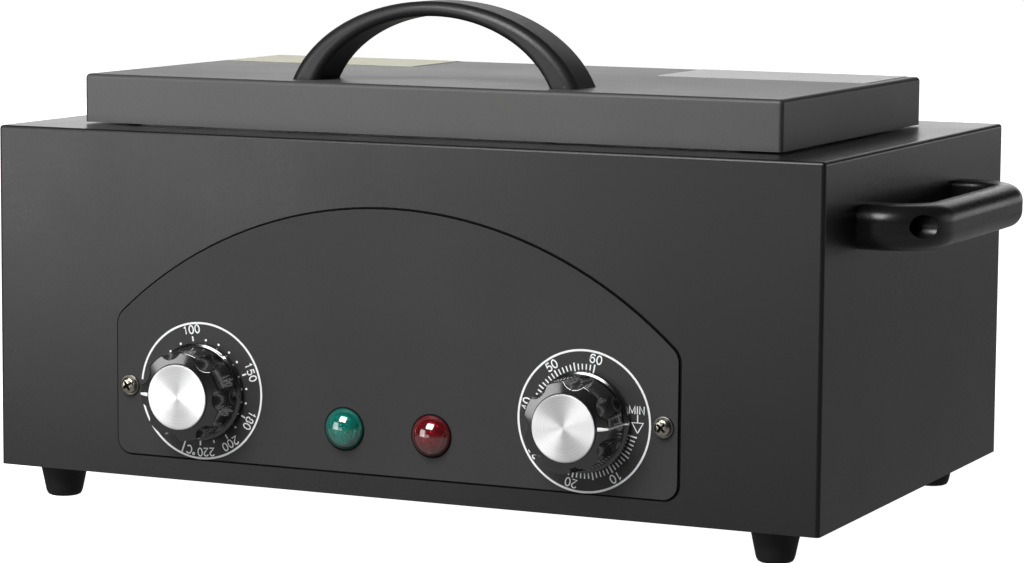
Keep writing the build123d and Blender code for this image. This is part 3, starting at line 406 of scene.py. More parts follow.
NODE_MAT = {
    "outer_case": "case_coat_painted_darker", "lid_cover": "lid_coat_painted_lighter", "control_panel": "panel_coat",
    "bottom_plate": "plated", "heater_clamps": "plated", "heat_shield": "plated", "hinge_case_leaves": "plated", "hinge_lid_leaves": "plated",
    "panel_screws": "screw_nickel", "panel_washers": "screw_nickel",
    "countersunk_screws": "zinc", "foot_screws": "zinc", "bottom_screws": "zinc", "side_handle_screws": "dark_screw", "cabinet_nuts": "zinc",
    "chamber_nuts": "zinc", "hinge_case_screws": "zinc", "hinge_lid_screws": "zinc", "lid_handle_screws": "zinc", "earth_stud": "zinc",
    "lamp_clips": "zinc", "temperature_spindle": "shaft", "timer_spindle": "shaft", "hinge_pins": "shaft",
    "regulator_body": "phenolic_cream", "timer_body": "phenolic_cream", "control_terminals": "brass", "heater_terminals": "brass", "inlet_pins": "brass",
    "green_lamp_lens": "green_clear", "red_lamp_lens": "red_clear", "green_lamp_bulb": "bulb_glass", "red_lamp_bulb": "bulb_glass",
    "green_lamp_holder": "nylon_black", "red_lamp_holder": "nylon_black",
    "chamber": "stainless", "instrument_tray": "tray_steel", "tray_handles": "tray_steel", "lid_liner": "stainless",
    "heating_element": "heater", "temperature_sensor": "copper",
    "insulation_wrap": "wool", "insulation_pad": "wool", "lid_insulation": "wool", "rubber_feet": "foot",
    "right_side_handle": "side_grip", "left_side_handle": "side_grip", "lid_handle": "lid_grip", "power_inlet": "inlet",
    "temperature_knob": "bakelite", "timer_knob": "bakelite", "temperature_knob_cap": "cap_left", "timer_knob_cap": "cap_right",
    "yellow_label": "label_yellow", "grey_label": "label_grey",
    "wire_live": "lead_brown", "wire_switched": "lead_brown", "wire_heater": "lead_white", "wire_neutral": "lead_blue", "wire_earth": "lead_green",
}
for name, obj in NODES.items():
    mat = MAT[NODE_MAT[name]]
    if obj.material_slots:
        for s in obj.material_slots:
            s.material = mat
    else:
        obj.data.materials.append(mat)


# ------------------------------------------------------------------ mesh helpers
def mesh_object(name, verts, faces, mat, smooth=True, scale=MM):
    me = bpy.data.meshes.new(name)
    me.from_pydata([tuple(c * scale for c in v) for v in verts], [], faces)
    me.update()
    bm = bmesh.new()
    bm.from_mesh(me)
    bmesh.ops.recalc_face_normals(bm, faces=bm.faces)
    bm.to_mesh(me)
    bm.free()
    for p in me.polygons:
        p.use_smooth = smooth
    me.materials.append(MAT[mat])
    ob = bpy.data.objects.new(name, me)
    scene.collection.objects.link(ob)
    return ob


def sharpen(ob, angle):
    """Marks edges sharper than the angle, so smooth shading stops there."""
    bm = bmesh.new()
    bm.from_mesh(ob.data)
    for e in bm.edges:
        if len(e.link_faces) == 2 and e.calc_face_angle(0.0) > math.radians(angle):
            e.smooth = False
    bm.to_mesh(ob.data)
    bm.free()
    return ob


def front(x0, z0, u, v, w, y0=PANEL_Y):
    """A point u to the right, v up and w out from a place on the panel face."""
    return (x0 + u, y0 - w, z0 + v)


def ring_grid(rows, closed_start=True, closed_end=True):
    """Faces between rows of the same length, closed round; the first and last rows may be single points."""
    faces = []
    n = len(rows[1])
    for a, b in zip(rows[:-1], rows[1:]):
        for k in range(n):
            k2 = (k + 1) % n
            if len(a) == 1:
                faces.append((a[0], b[k], b[k2]))
            elif len(b) == 1:
                faces.append((a[k], b[0], a[k2]))
            else:
                faces.append((a[k], b[k], b[k2], a[k2]))
    return faces


def refine(points, step):
    """Splits a polyline of (r, w) points so that no piece is longer than step."""
    out = [points[0]]
    for a, b in zip(points[:-1], points[1:]):
        d = math.hypot(b[0] - a[0], b[1] - a[1])
        n = max(1, int(math.ceil(d / step)))
        for i in range(1, n + 1):
            out.append((a[0] + (b[0] - a[0]) * i / n, a[1] + (b[1] - a[1]) * i / n))
    return out


def round_profile(points, radii):
    """Rounds the corners of a polyline in (r, w)."""
    out = [points[0]]
    for i in range(1, len(points) - 1):
        p0, p1, p2 = (Vector(points[i - 1]), Vector(points[i]), Vector(points[i + 1]))
        rad = radii.get(i, 0.0)
        if rad <= 0:
            out.append(tuple(p1))
            continue
        a, b = (p0 - p1).normalized(), (p2 - p1).normalized()
        ang = a.angle(b)
        t = min(rad / math.tan(ang / 2), (p0 - p1).length * 0.48, (p2 - p1).length * 0.48)
        q0, q1 = p1 + a * t, p1 + b * t
        for k in range(7):
            s = k / 6.0
            out.append(tuple((1 - s) ** 2 * q0 + 2 * s * (1 - s) * p1 + s ** 2 * q1))
    out.append(points[-1])
    return out


# ------------------------------------------------------------------ knobs
LOBES = 7
SCALLOP_R = 5.5
SCALLOP_D = 20.9 + 0.25
SCALLOP_END = 7.6        # where the straight part of a scallop ends, above the panel
LEAN = 1.9 / 14.8


def scallop_radius(phi, w):
    """Distance from the knob axis at which a scallop's surface lies, for an angle phi from its middle, or None."""
    d = SCALLOP_D + LEAN * (18.8 - w)
    rs2 = SCALLOP_R ** 2
    if w < SCALLOP_END:
        rs2 -= (SCALLOP_END - w) ** 2
    if rs2 <= 0:
        return None
    s = rs2 - (d * math.sin(phi)) ** 2
    if s <= 0 or math.cos(phi) <= 0:
        return None
    return d * math.cos(phi) - math.sqrt(s)


def knob_profile():
    prof = [(19.0, 0.8), (20.3, 0.8), (20.3, 3.1), (19.0, 3.7), (18.4, 18.1), (13.9, 19.5)]
    prof = round_profile(prof, {1: 0.5, 2: 0.7, 3: 0.5, 4: 0.6})
    return refine(prof, 0.36)


def knob(name, x0, pointer, node, body):
    prof = knob_profile()
    n = LOBES * 60
    verts, rows = [], []
    for r, w in prof:
        row = []
        for k in range(n):
            a = 2 * math.pi * k / n                     # clockwise from the pointer, seen from the front
            f = (a / (2 * math.pi / LOBES) - 0.5)
            phi = (f - round(f)) * 2 * math.pi / LOBES
            rr = r
            c = scallop_radius(phi, w)
            if c is not None:
                soft = 0.1
                h = max(0.0, min(1.0, 0.5 + 0.5 * (c - rr) / soft))
                rr = c * (1 - h) + rr * h - soft * h * (1 - h)
            ang = math.radians(pointer) + a
            row.append(len(verts))
            verts.append(front(x0, DIAL_Z, rr * math.sin(ang), rr * math.cos(ang), w))
        rows.append(row)
    # the face between the rim and the cap: a shallow step, then the recess wall of the cap
    inner = [(13.9, 19.5), (13.82, 19.3), (13.76, 18.3)]
    for r, w in inner[1:]:
        row = []
        for k in range(n):
            ang = math.radians(pointer) + 2 * math.pi * k / n
            row.append(len(verts))
            verts.append(front(x0, DIAL_Z, r * math.sin(ang), r * math.cos(ang), w))
        rows.append(row)
    # closed at the back by an annulus and a short wall, so that it stands as a shell
    back = []
    for r, w in ((17.2, 0.8), (16.4, 6.0), (6.2, 6.0), (6.2, 0.95), (3.3, 0.95), (3.3, 13.0)):
        row = []
        for k in range(n):
            ang = math.radians(pointer) + 2 * math.pi * k / n
            row.append(len(verts))
            verts.append(front(x0, DIAL_Z, min(r, 13.2) * math.sin(ang) if w > 1 and r > 13.2 else r * math.sin(ang),
                               min(r, 13.2) * math.cos(ang) if w > 1 and r > 13.2 else r * math.cos(ang), w))
        back.append(row)
    rows = back[::-1] + rows
    tip = []
    for k in range(n):
        ang = math.radians(pointer) + 2 * math.pi * k / n
        tip.append(len(verts))
        verts.append(front(x0, DIAL_Z, 0.4 * math.sin(ang), 0.4 * math.cos(ang), 18.3))
    rows.append(tip)
    c = len(verts)
    verts.append(front(x0, DIAL_Z, 0, 0, 18.3))
    rows.append([c])
    faces = ring_grid(rows)
    ob = mesh_object(name, verts, faces, "bakelite")
    sharpen(ob, 42)
    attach(ob, body)
    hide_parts(node)
    return ob


def cap(name, x0, node, body, mat):
    prof = [(0.0, 20.24), (4.0, 20.24), (9.0, 20.26), (13.3, 20.30), (13.6, 20.0), (13.6, 18.75), (12.0, 18.5), (0.0, 18.5)]
    prof = round_profile(prof, {3: 0.12, 4: 0.12})
    prof = [prof[0]] + refine(prof, 0.8)[1:-1] + [prof[-1]]
    n = 192
    verts, rows = [], []
    for r, w in prof:
        if r < 1e-6:
            rows.append([len(verts)])
            verts.append(front(x0, DIAL_Z, 0, 0, w))
            continue
        row = []
        for k in range(n):
            a = 2 * math.pi * k / n
            row.append(len(verts))
            verts.append(front(x0, DIAL_Z, r * math.sin(a), r * math.cos(a), w))
        rows.append(row)
    ob = mesh_object(name, verts, ring_grid(rows), mat)
    sharpen(ob, 50)
    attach(ob, body)
    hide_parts(node)
    return ob


def pointer_mark(name, x0, pointer, body):
    """The white line let into the knob: over the rim beside the cap and down the lobe to the skirt."""
    path = [p for p in knob_profile()[::-1] if p[0] > 13.95 and p[1] > 2.6]
    wide = []
    for r, w in path:
        wide.append(1.55 if r < 15.5 and w > 18 else (1.55 - 0.8 * min(1.0, (r - 15.5) / 2.9) if w > 17.0 else max(0.62, 0.78 - 0.01 * (17.0 - w))))
    verts, faces = [], []
    th = math.radians(pointer)
    for i, ((r, w), wd) in enumerate(zip(path, wide)):
        a, b = path[max(0, i - 1)], path[min(len(path) - 1, i + 1)]
        dr, dw = b[0] - a[0], b[1] - a[1]
        ln = math.hypot(dr, dw)
        nr, nw = -dw / ln, dr / ln
        if nr + nw < 0:
            nr, nw = -nr, -nw
        for lift in (-0.25, 0.07):
            for s in (-0.5, -0.3, 0.3, 0.5):
                drop = 0.0 if abs(s) < 0.4 else 0.04
                rr, ww = r + nr * (lift - drop), w + nw * (lift - drop)
                u, v = rr * math.sin(th) + s * wd * math.cos(th), rr * math.cos(th) - s * wd * math.sin(th)
                verts.append(front(x0, DIAL_Z, u, v, ww))
    for i in range(len(path) - 1):
        a, b = i * 8, (i + 1) * 8
        for k in range(3):
            faces.append((a + 4 + k, b + 4 + k, b + 5 + k, a + 5 + k))
            faces.append((a + k, a + 1 + k, b + 1 + k, b + k))
        faces.append((a, b, b + 4, a + 4))
        faces.append((a + 3, a + 7, b + 7, b + 3))
    for a in (0, (len(path) - 1) * 8):
        faces.append((a, a + 4, a + 5, a + 6, a + 7, a + 3, a + 2, a + 1))
    ob = mesh_object(name, verts, faces, "ink")
    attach(ob, body)
    return ob


knob("temperature_knob_body", -DIAL_X, 270.0, "temperature_knob", "temperature_dial")
knob("timer_knob_body", DIAL_X, 88.0, "timer_knob", "timer_dial")
cap("temperature_cap_disc", -DIAL_X, "temperature_knob_cap", "temperature_dial", "cap_left")
cap("timer_cap_disc", DIAL_X, "timer_knob_cap", "timer_dial", "cap_right")
pointer_mark("temperature_pointer", -DIAL_X, 270.0, "temperature_dial")
pointer_mark("timer_pointer", DIAL_X, 88.0, "timer_dial")


# ------------------------------------------------------------------ dial print
PRINT_T = 0.05


def curve(cx, cy, rx, ry, a0, a1, n=14):
    """Points of an ellipse arc, angles in degrees anticlockwise from the right."""
    return [(cx + rx * math.cos(math.radians(a0 + (a1 - a0) * i / n)), cy + ry * math.sin(math.radians(a0 + (a1 - a0) * i / n))) for i in range(n + 1)]


# Plain figures as centre lines, one unit high, x about the middle
GLYPHS = {
    "0": [curve(0, 0.5, 0.26, 0.5, 90, 450, 28)],
    "1": [[(-0.17, 0.76), (-0.08, 0.83), (0.03, 1.0), (0.03, 0.0)]],
    "2": [curve(0, 0.72, 0.25, 0.28, 165, -28, 14) + [(-0.25, 0.02), (0.28, 0.02)]],
    "3": [curve(0, 0.75, 0.23, 0.25, 160, -90, 14), curve(0, 0.26, 0.26, 0.25, 90, -160, 16)],
    "4": [[(0.12, 0.0), (0.12, 1.0), (-0.27, 0.27), (0.29, 0.27)]],
    "5": [[(0.24, 0.98), (-0.14, 0.98), (-0.21, 0.53)] + curve(0.0, 0.33, 0.26, 0.31, 125, -150, 16)],
    "6": [curve(0.02, 0.66, 0.26, 0.34, 35, 180, 10) + [(-0.25, 0.34)], curve(0, 0.31, 0.25, 0.31, 90, 450, 22)],
    "8": [curve(0, 0.76, 0.21, 0.24, 90, 450, 20), curve(0, 0.27, 0.26, 0.27, 90, 450, 22)],
    "C": [curve(0.03, 0.5, 0.33, 0.5, 42, 318, 20)],
    "d": [curve(0, 0.86, 0.11, 0.13, 90, 450, 14)],
    "M": [[(-0.34, 0.0), (-0.34, 1.0), (0.0, 0.12), (0.34, 1.0), (0.34, 0.0)]],
    "I": [[(0.0, 0.0), (0.0, 1.0)]],
    "N": [[(-0.27, 0.0), (-0.27, 1.0), (0.27, 0.0), (0.27, 1.0)]],
}
GLYPH_W = {"0": 0.72, "1": 0.66, "2": 0.72, "3": 0.72, "4": 0.74, "5": 0.72, "6": 0.72, "8": 0.72, "C": 0.84, "d": 0.36, "M": 0.92, "I": 0.34, "N": 0.78}


class Print:
    """Thin raised ink: rings, strokes and figures gathered into one mesh."""

    def __init__(self, x0, z0):
        self.x0, self.z0 = x0, z0
        self.verts, self.faces = [], []

    def poly(self, pts):
        """A convex outline in (u, v), as a thin plate."""
        n = len(pts)
        a = len(self.verts)
        for w in (0.0, PRINT_T):
            for u, v in pts:
                self.verts.append(front(self.x0, self.z0, u, v, w))
        self.faces.append(tuple(a + n + k for k in range(n)))
        self.faces.append(tuple(a + k for k in reversed(range(n))))
        for k in range(n):
            k2 = (k + 1) % n
            self.faces.append((a + k, a + k2, a + n + k2, a + n + k))

    def arc(self, r, width, a0, a1, step=2.0):
        n = max(2, int(abs(a1 - a0) / step))
        for i in range(n):
            t0, t1 = math.radians(a0 + (a1 - a0) * i / n), math.radians(a0 + (a1 - a0) * (i + 1) / n)
            ri, ro = r - width / 2, r + width / 2
            self.poly([(ri * math.sin(t0), ri * math.cos(t0)), (ro * math.sin(t0), ro * math.cos(t0)),
                       (ro * math.sin(t1), ro * math.cos(t1)), (ri * math.sin(t1), ri * math.cos(t1))])

    def ring(self, r, width, a0=0.0, a1=360.0, n=180):
        """A band made of one closed or open strip."""
        full = abs(a1 - a0) >= 359.9
        m = n if full else max(2, int(n * abs(a1 - a0) / 360.0))
        base = len(self.verts)
        cnt = m if full else m + 1
        for i in range(cnt):
            t = math.radians(a0 + (a1 - a0) * i / m)
            for rr, w in ((r - width / 2, 0.0), (r - width / 2, PRINT_T), (r + width / 2, PRINT_T), (r + width / 2, 0.0)):
                self.verts.append(front(self.x0, self.z0, rr * math.sin(t), rr * math.cos(t), w))
        for i in range(m):
            j = (i + 1) % cnt
            for q in range(4):
                q2 = (q + 1) % 4
                self.faces.append((base + 4 * i + q, base + 4 * i + q2, base + 4 * j + q2, base + 4 * j + q))
        if not full:
            self.faces.append(tuple(base + q for q in range(4)))
            self.faces.append(tuple(base + 4 * m + q for q in reversed(range(4))))

    def tick(self, ang, r0, r1, width):
        t = math.radians(ang)
        s, c = math.sin(t), math.cos(t)
        h = width / 2
        self.poly([(r0 * s - h * c, r0 * c + h * s), (r1 * s - h * c, r1 * c + h * s), (r1 * s + h * c, r1 * c - h * s), (r0 * s + h * c, r0 * c - h * s)])

    def stroke(self, p, q, width):
        dx, dy = q[0] - p[0], q[1] - p[1]
        ln = math.hypot(dx, dy)
        nx, ny = -dy / ln * width / 2, dx / ln * width / 2
        self.poly([(p[0] + nx, p[1] + ny), (q[0] + nx, q[1] + ny), (q[0] - nx, q[1] - ny), (p[0] - nx, p[1] - ny)])

    def dot(self, ang, r, size):
        t = math.radians(ang)
        u, v = r * math.sin(t), r * math.cos(t)
        self.poly([(u + size * math.cos(k * math.pi / 5), v + size * math.sin(k * math.pi / 5)) for k in range(10)])

    def ribbon(self, pts, width):
        """A line of even width along points, with round ends, as one strip."""
        h = width / 2
        n = len(pts)
        offs = []
        for i in range(n):
            p = Vector(pts[i])
            d0 = (p - Vector(pts[i - 1])).normalized() if i else None
            d1 = (Vector(pts[i + 1]) - p).normalized() if i < n - 1 else None
            d = ((d0 or d1) + (d1 or d0)).normalized()
            nrm = Vector((-d.y, d.x))
            k = 1.0
            if d0 is not None and d1 is not None:
                k = 1.0 / max(0.5, (1 + d0.dot(d1)) / 2) ** 0.5
            offs.append((p + nrm * h * k, p - nrm * h * k))
        base = len(self.verts)
        for w in (0.0, PRINT_T):
            for l, r in offs:
                self.verts.append(front(self.x0, self.z0, l.x, l.y, w))
                self.verts.append(front(self.x0, self.z0, r.x, r.y, w))
        m = 2 * n
        for i in range(n - 1):
            q = base + 2 * i
            self.faces.append((q + m, q + m + 1, q + m + 3, q + m + 2))
            self.faces.append((q, q + 2, q + 3, q + 1))
            self.faces.append((q, q + m, q + m + 2, q + 2))
            self.faces.append((q + 1, q + 3, q + m + 3, q + m + 1))
        self.faces.append((base, base + 1, base + m + 1, base + m))
        e = base + 2 * (n - 1)
        self.faces.append((e, e + m, e + m + 1, e + 1))

    def figures(self, body, ang, r, height, turn=None, width=0.56, pitch=1.2, wide=1.16):
        """Figures whose middle is at the angle and radius, tops outward unless turn is given."""
        t = math.radians(ang)
        rot = math.radians(ang if turn is None else turn)
        s, c = math.sin(rot), math.cos(rot)
        total = sum(GLYPH_W[g] for g in body) * height * pitch
        x = -total / 2
        for g in body:
            wd = GLYPH_W[g] * height * pitch
            for path in GLYPHS[g]:
                pts = []
                for gx, gy in path:
                    px, py = x + wd / 2 + gx * height * wide, (gy - 0.5) * height
                    pts.append((r * math.sin(t) + px * c + py * s, r * math.cos(t) - px * s + py * c))
                self.ribbon(pts, width)
            x += wd

    def done(self, name):
        ob = mesh_object(name, self.verts, self.faces, "ink", smooth=False)
        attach(ob, "cabinet")
        return ob


FIG = 3.3
left = Print(-DIAL_X, DIAL_Z)
left.ring(28.3, 0.85, 276.0, 276.0 + 348.0)
marks = {50: 270, 60: 286, 70: 302, 80: 317, 90: 333, 100: 349.7, 110: 6, 120: 22.7, 130: 38, 140: 52, 150: 68.2, 160: 84, 170: 100,
         180: 115.4, 190: 131, 200: 146.9, 210: 164, 220: 181.2}
for t, a in marks.items():
    if t in (100, 150, 180, 200, 220):
        left.tick(a, 20.9, 22.9, 0.7)
    elif t == 50:
        left.tick(a, 20.9, 24.6, 0.7)
    elif t == 210:
        left.tick(a, 21.0, 22.3, 0.6)
    else:
        left.dot(a, 21.4, 0.52)
for t, a in ((100, 349.7), (150, 68.2), (180, 115.4), (200, 146.9)):
    left.figures(str(t), a, 25.75 if t == 100 else 25.2, FIG)
left.figures("220", 175.0, 25.6, FIG)
left.figures("dC", 191.5, 25.6, FIG)
left.tick(199.5, 22.6, 28.0, 0.66)
left.done("temperature_scale")

right = Print(DIAL_X, DIAL_Z)
right.ring(28.3, 0.85)
for k in range(0, 61):
    a = 102.2 + 4.484 * k
    if k % 10 == 5:
        right.tick(a, 20.0, 23.5, 0.58)
    elif k % 10 == 0:
        right.tick(a, 19.8, 23.3, 0.64)
    else:
        right.tick(a, 20.6, 22.9, 0.54)
for k in (10, 20, 30, 40, 50, 60):
    right.figures(str(k), 102.2 + 4.484 * k, 25.5, FIG)
right.figures("MIN", 75.0, 23.4, 3.1, turn=0.0, width=0.52, pitch=1.12, wide=1.1)
right.stroke((23.0, 4.3), (23.0, 1.2), 0.5)
right.ribbon([(23.0, -3.1), (20.6, 1.05), (25.4, 1.05), (23.0, -3.1)], 0.5)
right.done("timer_scale")


# ------------------------------------------------------------------ lamp lenses
def lens(colour, x0):
    dome = []
    R = (8.5 ** 2 + 5.6 ** 2) / (2 * 5.6)
    for i in range(0, 27):
        a = math.asin(8.5 / R) * i / 26.0
        dome.append((R * math.sin(a), 6.0 - (R - R * math.cos(a))))
    prof = dome + [(8.5, 0.15), (8.35, 0.02), (6.2, 0.02), (6.2, -5.9), (5.3, -5.9)]
    n = 96
    verts, rows = [], []

    def add(r, w, lobes=0, depth=0.0):
        if r < 1e-6:
            rows.append([len(verts)])
            verts.append(front(x0, LAMP_Z, 0, 0, w))
            return
        row = []
        for k in range(n):
            a = 2 * math.pi * k / n
            ww = w
            if lobes:
                ww = w + depth * (abs(((k * lobes / n) % 1.0) - 0.5) * 2 - 0.5)
            row.append(len(verts))
            verts.append(front(x0, LAMP_Z, r * math.sin(a), r * math.cos(a), ww))
        rows.append(row)

    for r, w in prof:
        add(r, w)
    # inside: fluted wall and a faceted ceiling
    for i, (r, w) in enumerate(((5.2, 0.8), (5.1, 2.0), (4.6, 2.7), (3.8, 3.3), (2.9, 3.75), (1.9, 4.05), (0.9, 4.25))):
        add(r, w, 16, 0.5 if i % 2 else 0.25)
    add(0.0, 4.35)
    ob = mesh_object(colour + "_lens_dome", verts, ring_grid(rows), colour + "_clear")
    sharpen(ob, 35)
    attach(ob, "cabinet")
    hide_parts(colour + "_lamp_lens")
    # black bezel ring the lens sits in
    ring = [(8.35, 0.02), (9.0, 0.02), (9.0, 0.22), (8.78, 0.48), (8.56, 0.42), (8.5, 0.2)]
    bv, brows = [], []
    for r, w in ring:
        row = []
        for k in range(96):
            a = 2 * math.pi * k / 96
            row.append(len(bv))
            bv.append(front(x0, LAMP_Z, r * math.sin(a), r * math.cos(a), w))
        brows.append(row)
    brows.append(brows[0])
    bz = mesh_object(colour + "_lens_bezel", bv, ring_grid(brows), "black_rubber_and_shadow")
    sharpen(bz, 40)
    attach(bz, "cabinet")
    # diffuser cone inside the lens, with moulded prisms
    verts2, rows2 = [], []
    m = 72
    steps = [(0.0, 3.9), (0.8, 3.8), (1.6, 3.55), (2.4, 3.25), (3.2, 2.9), (3.9, 2.4), (4.5, 1.8), (4.9, 1.0), (5.0, 0.2), (5.0, -2.0)]
    for j, (r, w) in enumerate(steps):
        if r == 0.0:
            rows2.append([0])
            verts2.append(front(x0, LAMP_Z, 0, 0, w))
            continue
        row = []
        for k in range(m):
            a = 2 * math.pi * (k + 0.5 * (j % 2)) / m
            dd = 0.22 * (1 if (k // 2 + j) % 2 else -1)
            row.append(len(verts2))
            verts2.append(front(x0, LAMP_Z, r * math.sin(a), r * math.cos(a), w + (dd if j < 7 else 0.0)))
        rows2.append(row)
    ob2 = mesh_object(colour + "_lens_prisms", verts2, ring_grid(rows2), colour + "_inner", smooth=False)
    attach(ob2, "cabinet")


lens("green", -LAMP_X)
lens("red", LAMP_X)


# ------------------------------------------------------------------ panel screws and washers
def cross_depth(u, v, turn, arm, width):
    """Depth of a cross recess at a point of the head: four tapering arms and a deeper middle."""
    c, s = math.cos(turn), math.sin(turn)
    p, q = abs(u * c + v * s), abs(-u * s + v * c)
    best = 0.0
    for along, across in ((p, q), (q, p)):
        if along > arm:
            continue
        w = width * (1.0 - 0.25 * along / arm)
        edge = w - across
        if edge > 0:
            best = max(best, min(1.0, edge / (w * 0.30)) * (1.9 - 1.0 * along / arm))
    mid = math.hypot(u, v)
    if mid < width * 1.5:
        best = max(best, 1.9)
    return best


def panel_screw(sx):
    x0, turn = sx * SCREW_X, math.radians(33 if sx < 0 else 48)
    base = 0.75
    n = 144
    verts, rows = [], []
    Rh, H = 3.4, 2.3
    radii = [0.0] + [0.085 * i for i in range(1, 34)] + [2.95, 3.1, 3.22, 3.31, 3.37, 3.4]
    for r in radii:
        if r == 0.0:
            rows.append([0])
            verts.append(front(x0, SCREW_Z, 0, 0, base + H - 1.9))
            continue
        row = []
        for k in range(n):
            a = 2 * math.pi * k / n
            u, v = r * math.sin(a), r * math.cos(a)
            w = H * 0.42 + H * 0.58 * math.sqrt(max(0.0, 1 - (r / (Rh * 1.0005)) ** 2.6))
            w -= cross_depth(u, v, turn, 2.15, 0.60)
            row.append(len(verts))
            verts.append(front(x0, SCREW_Z, u, v, base + w))
        rows.append(row)
    for r, w in ((3.4, 0.0), (1.75, 0.0), (1.75, -8.9)):
        row = []
        for k in range(n):
            a = 2 * math.pi * k / n
            row.append(len(verts))
            verts.append(front(x0, SCREW_Z, r * math.sin(a), r * math.cos(a), base + w))
        rows.append(row)
    rows.append([len(verts)])
    verts.append(front(x0, SCREW_Z, 0, 0, base - 9.0))
    return verts, ring_grid(rows)


def join_parts(name, parts, mat, body, node, angle=35):
    verts, faces = [], []
    for v, f in parts:
        o = len(verts)
        verts += v
        faces += [tuple(i + o for i in x) for x in f]
    ob = mesh_object(name, verts, faces, mat)
    sharpen(ob, angle)
    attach(ob, body)
    if node:
        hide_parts(node)
    return ob


def panel_washer(sx):
    """Split-ring profile washer with a dished top and rounded rim."""
    x0 = sx * SCREW_X
    prof = [(1.95, 0.0), (4.2, 0.0), (4.4, 0.12), (4.4, 0.45), (4.28, 0.68), (4.0, 0.8), (3.7, 0.76), (2.4, 0.7), (1.95, 0.62)]
    n = 96
    verts, rows = [], []
    for r, w in prof + [prof[0]]:
        row = []
        for k in range(n):
            a = 2 * math.pi * k / n
            row.append(len(verts))
            verts.append(front(x0, SCREW_Z, r * math.sin(a), r * math.cos(a), w))
        rows.append(row)
    faces = ring_grid(rows)
    # weld the last row onto the first
    first, last = rows[0], rows[-1]
    remap = dict(zip(last, first))
    faces = [tuple(remap.get(i, i) for i in f) for f in faces]
    verts = verts[:last[0]]
    return verts, faces


heads = join_parts("panel_screw_heads", [panel_screw(-1), panel_screw(1)], "screw_nickel", "cabinet", "panel_screws", 30)
# painted shade: faces inside the cross recess get the darker recess metal
heads.data.materials.append(MAT["recess"])
for poly in heads.data.polygons:
    c = poly.center / MM
    sx = -1 if c.x < 0 else 1
    if math.hypot(c.x - sx * SCREW_X, c.z - SCREW_Z) < 2.4 and cross_depth(c.x - sx * SCREW_X, c.z - SCREW_Z, math.radians(33 if sx < 0 else 48), 2.15, 0.60) > 0.05:
        poly.material_index = 1
join_parts("panel_screw_washers", [panel_washer(-1), panel_washer(1)], "washer_dark", "cabinet", "panel_washers", 40)


# ------------------------------------------------------------------ painted shadow strip round the panel
def hull_2d(pts):
    pts = sorted(set(pts))
    out = []
    for seq in (pts, pts[::-1]):
        part = []
        for q in seq:
            while len(part) > 1 and (part[-1][0] - part[-2][0]) * (q[1] - part[-2][1]) - (part[-1][1] - part[-2][1]) * (q[0] - part[-2][0]) <= 1e-9:
                part.pop()
            part.append(q)
        out += part[:-1]
    return out


def panel_gasket():
    """A thin black strip on the case following the panel's outline: painted shadow of the panel's edge."""
    panel = NODES["control_panel"]
    pts = [(round(c.x / MM, 3), round(c.z / MM, 3)) for c in (panel.matrix_world @ v.co for v in panel.data.vertices)]
    line = hull_2d(pts)
    n = len(line)
    y0 = -114.0 + YS
    verts, faces = [], []
    for i in range(n):
        a, b, c = Vector(line[i - 1]), Vector(line[i]), Vector(line[(i + 1) % n])
        d = ((b - a).normalized() + (c - b).normalized()).normalized()
        nx, nz = d.y, -d.x
        for out, y in ((-0.9, 0.0), (-0.9, -0.04), (0.50, -0.30), (0.62, -0.16), (0.66, 0.0)):
            verts.append((b.x + nx * out, y0 + y, b.y + nz * out))
    for i in range(n):
        j = (i + 1) % n
        for k in range(5):
            k2 = (k + 1) % 5
            faces.append((5 * i + k, 5 * i + k2, 5 * j + k2, 5 * j + k))
    # painted shadow: a black strip standing in for the shadow line round the panel
    ob = mesh_object("panel_painted_shadow_strip", verts, faces, "black_rubber_and_shadow", smooth=False)
    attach(ob, "cabinet")


panel_gasket()


# ------------------------------------------------------------------ stage
def stage_floor():
    me = bpy.data.meshes.new("floor")
    s = 14.0
    me.from_pydata([(-s, -s, 0), (s, -s, 0), (s, s, 0), (-s, s, 0)], [], [(0, 1, 2, 3)])
    ob = bpy.data.objects.new("floor", me)
    scene.collection.objects.link(ob)
    m = bpy.data.materials.new("floor_white")
    m.use_nodes = True
    b = m.node_tree.nodes["Principled BSDF"]
    b.inputs["Base Color"].default_value = (0.82, 0.82, 0.82, 1)
    b.inputs["Roughness"].default_value = 0.9
    b.inputs["Specular IOR Level"].default_value = 0.0
    b.inputs["Emission Color"].default_value = (1, 1, 1, 1)
    b.inputs["Emission Strength"].default_value = FLOOR_GLOW
    me.materials.append(m)
    ob.visible_glossy = False
    ob.visible_diffuse = False
    return ob


FLOOR_GLOW = 1.0


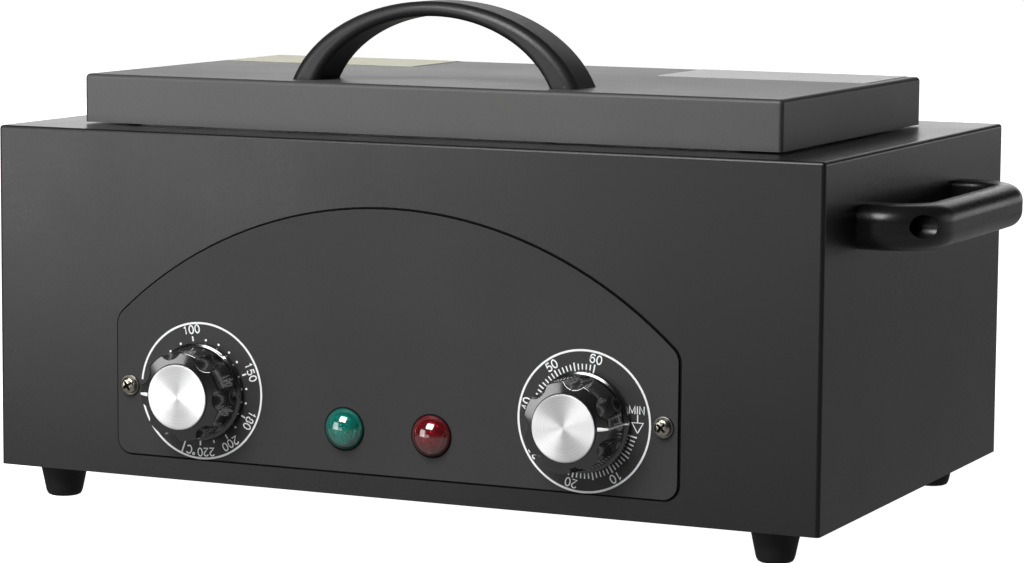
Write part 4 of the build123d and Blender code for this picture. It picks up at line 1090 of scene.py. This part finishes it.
def area(name, loc, target, size, power, colour=(1, 1, 1), spread=180.0):
    d = bpy.data.lights.new(name, 'AREA')
    d.shape = 'RECTANGLE'
    d.size, d.size_y = size
    d.energy = power
    d.color = colour
    d.spread = math.radians(spread)
    ob = bpy.data.objects.new(name, d)
    ob.location = loc
    ob.rotation_euler = (Vector(target) - Vector(loc)).to_track_quat('-Z', 'Y').to_euler()
    ob.visible_camera = False
    scene.collection.objects.link(ob)
    return ob


stage_floor()



def around(az, el, dist):
    """A place at an azimuth left of the front's normal and an elevation, both in degrees."""
    az, el = math.radians(az), math.radians(el)
    return (-dist * math.sin(az) * math.cos(el), -dist * math.cos(az) * math.cos(el), dist * math.sin(el) + 0.1)


MIDDLE = (0.0, 0.0, 0.1)
LIGHTS = [
    ("front_high", around(10, 45, 1.7), MIDDLE, (1.0, 0.8), 31.5),
    ("key", around(40, 8, 1.8), MIDDLE, (0.9, 0.9), 7.6),
    ("front_low", (-0.7, -1.9, 0.05), MIDDLE, (1.2, 0.5), 2.2),
    ("back_left", (-1.2, 2.6, 0.95), MIDDLE, (3.2, 1.7), 14.4),
    ("back_low", around(155, 8, 2.5), MIDDLE, (2.0, 0.8), 3.8),
    ("right_back", (1.9, 1.5, 0.55), MIDDLE, (1.2, 1.0), 2.3),
    ("side_mirror", (1.05, 2.4, 0.22), MIDDLE, (1.6, 0.4), 1.7),
]
for nm, loc, target, size, power in LIGHTS:
    area(nm, loc, target, size, power)

WORLD_UP = 0.02
WORLD_DOWN = 0.27
world = bpy.data.worlds.new("studio")
scene.world = world
world.use_nodes = True
wt = world.node_tree
bg = wt.nodes["Background"]
wco = wt.nodes.new("ShaderNodeTexCoord")
wsep = wt.nodes.new("ShaderNodeSeparateXYZ")
wmap = wt.nodes.new("ShaderNodeMapRange")
wmap.interpolation_type = 'SMOOTHSTEP'
wmap.inputs["From Min"].default_value = -0.25
wmap.inputs["From Max"].default_value = 0.15
wmap.inputs["To Min"].default_value = WORLD_DOWN
wmap.inputs["To Max"].default_value = WORLD_UP
wt.links.new(wco.outputs["Generated"], wsep.inputs[0])
wt.links.new(wsep.outputs[2], wmap.inputs["Value"])
wt.links.new(wmap.outputs[0], bg.inputs["Strength"])
bg.inputs["Color"].default_value = (1, 1, 1, 1)
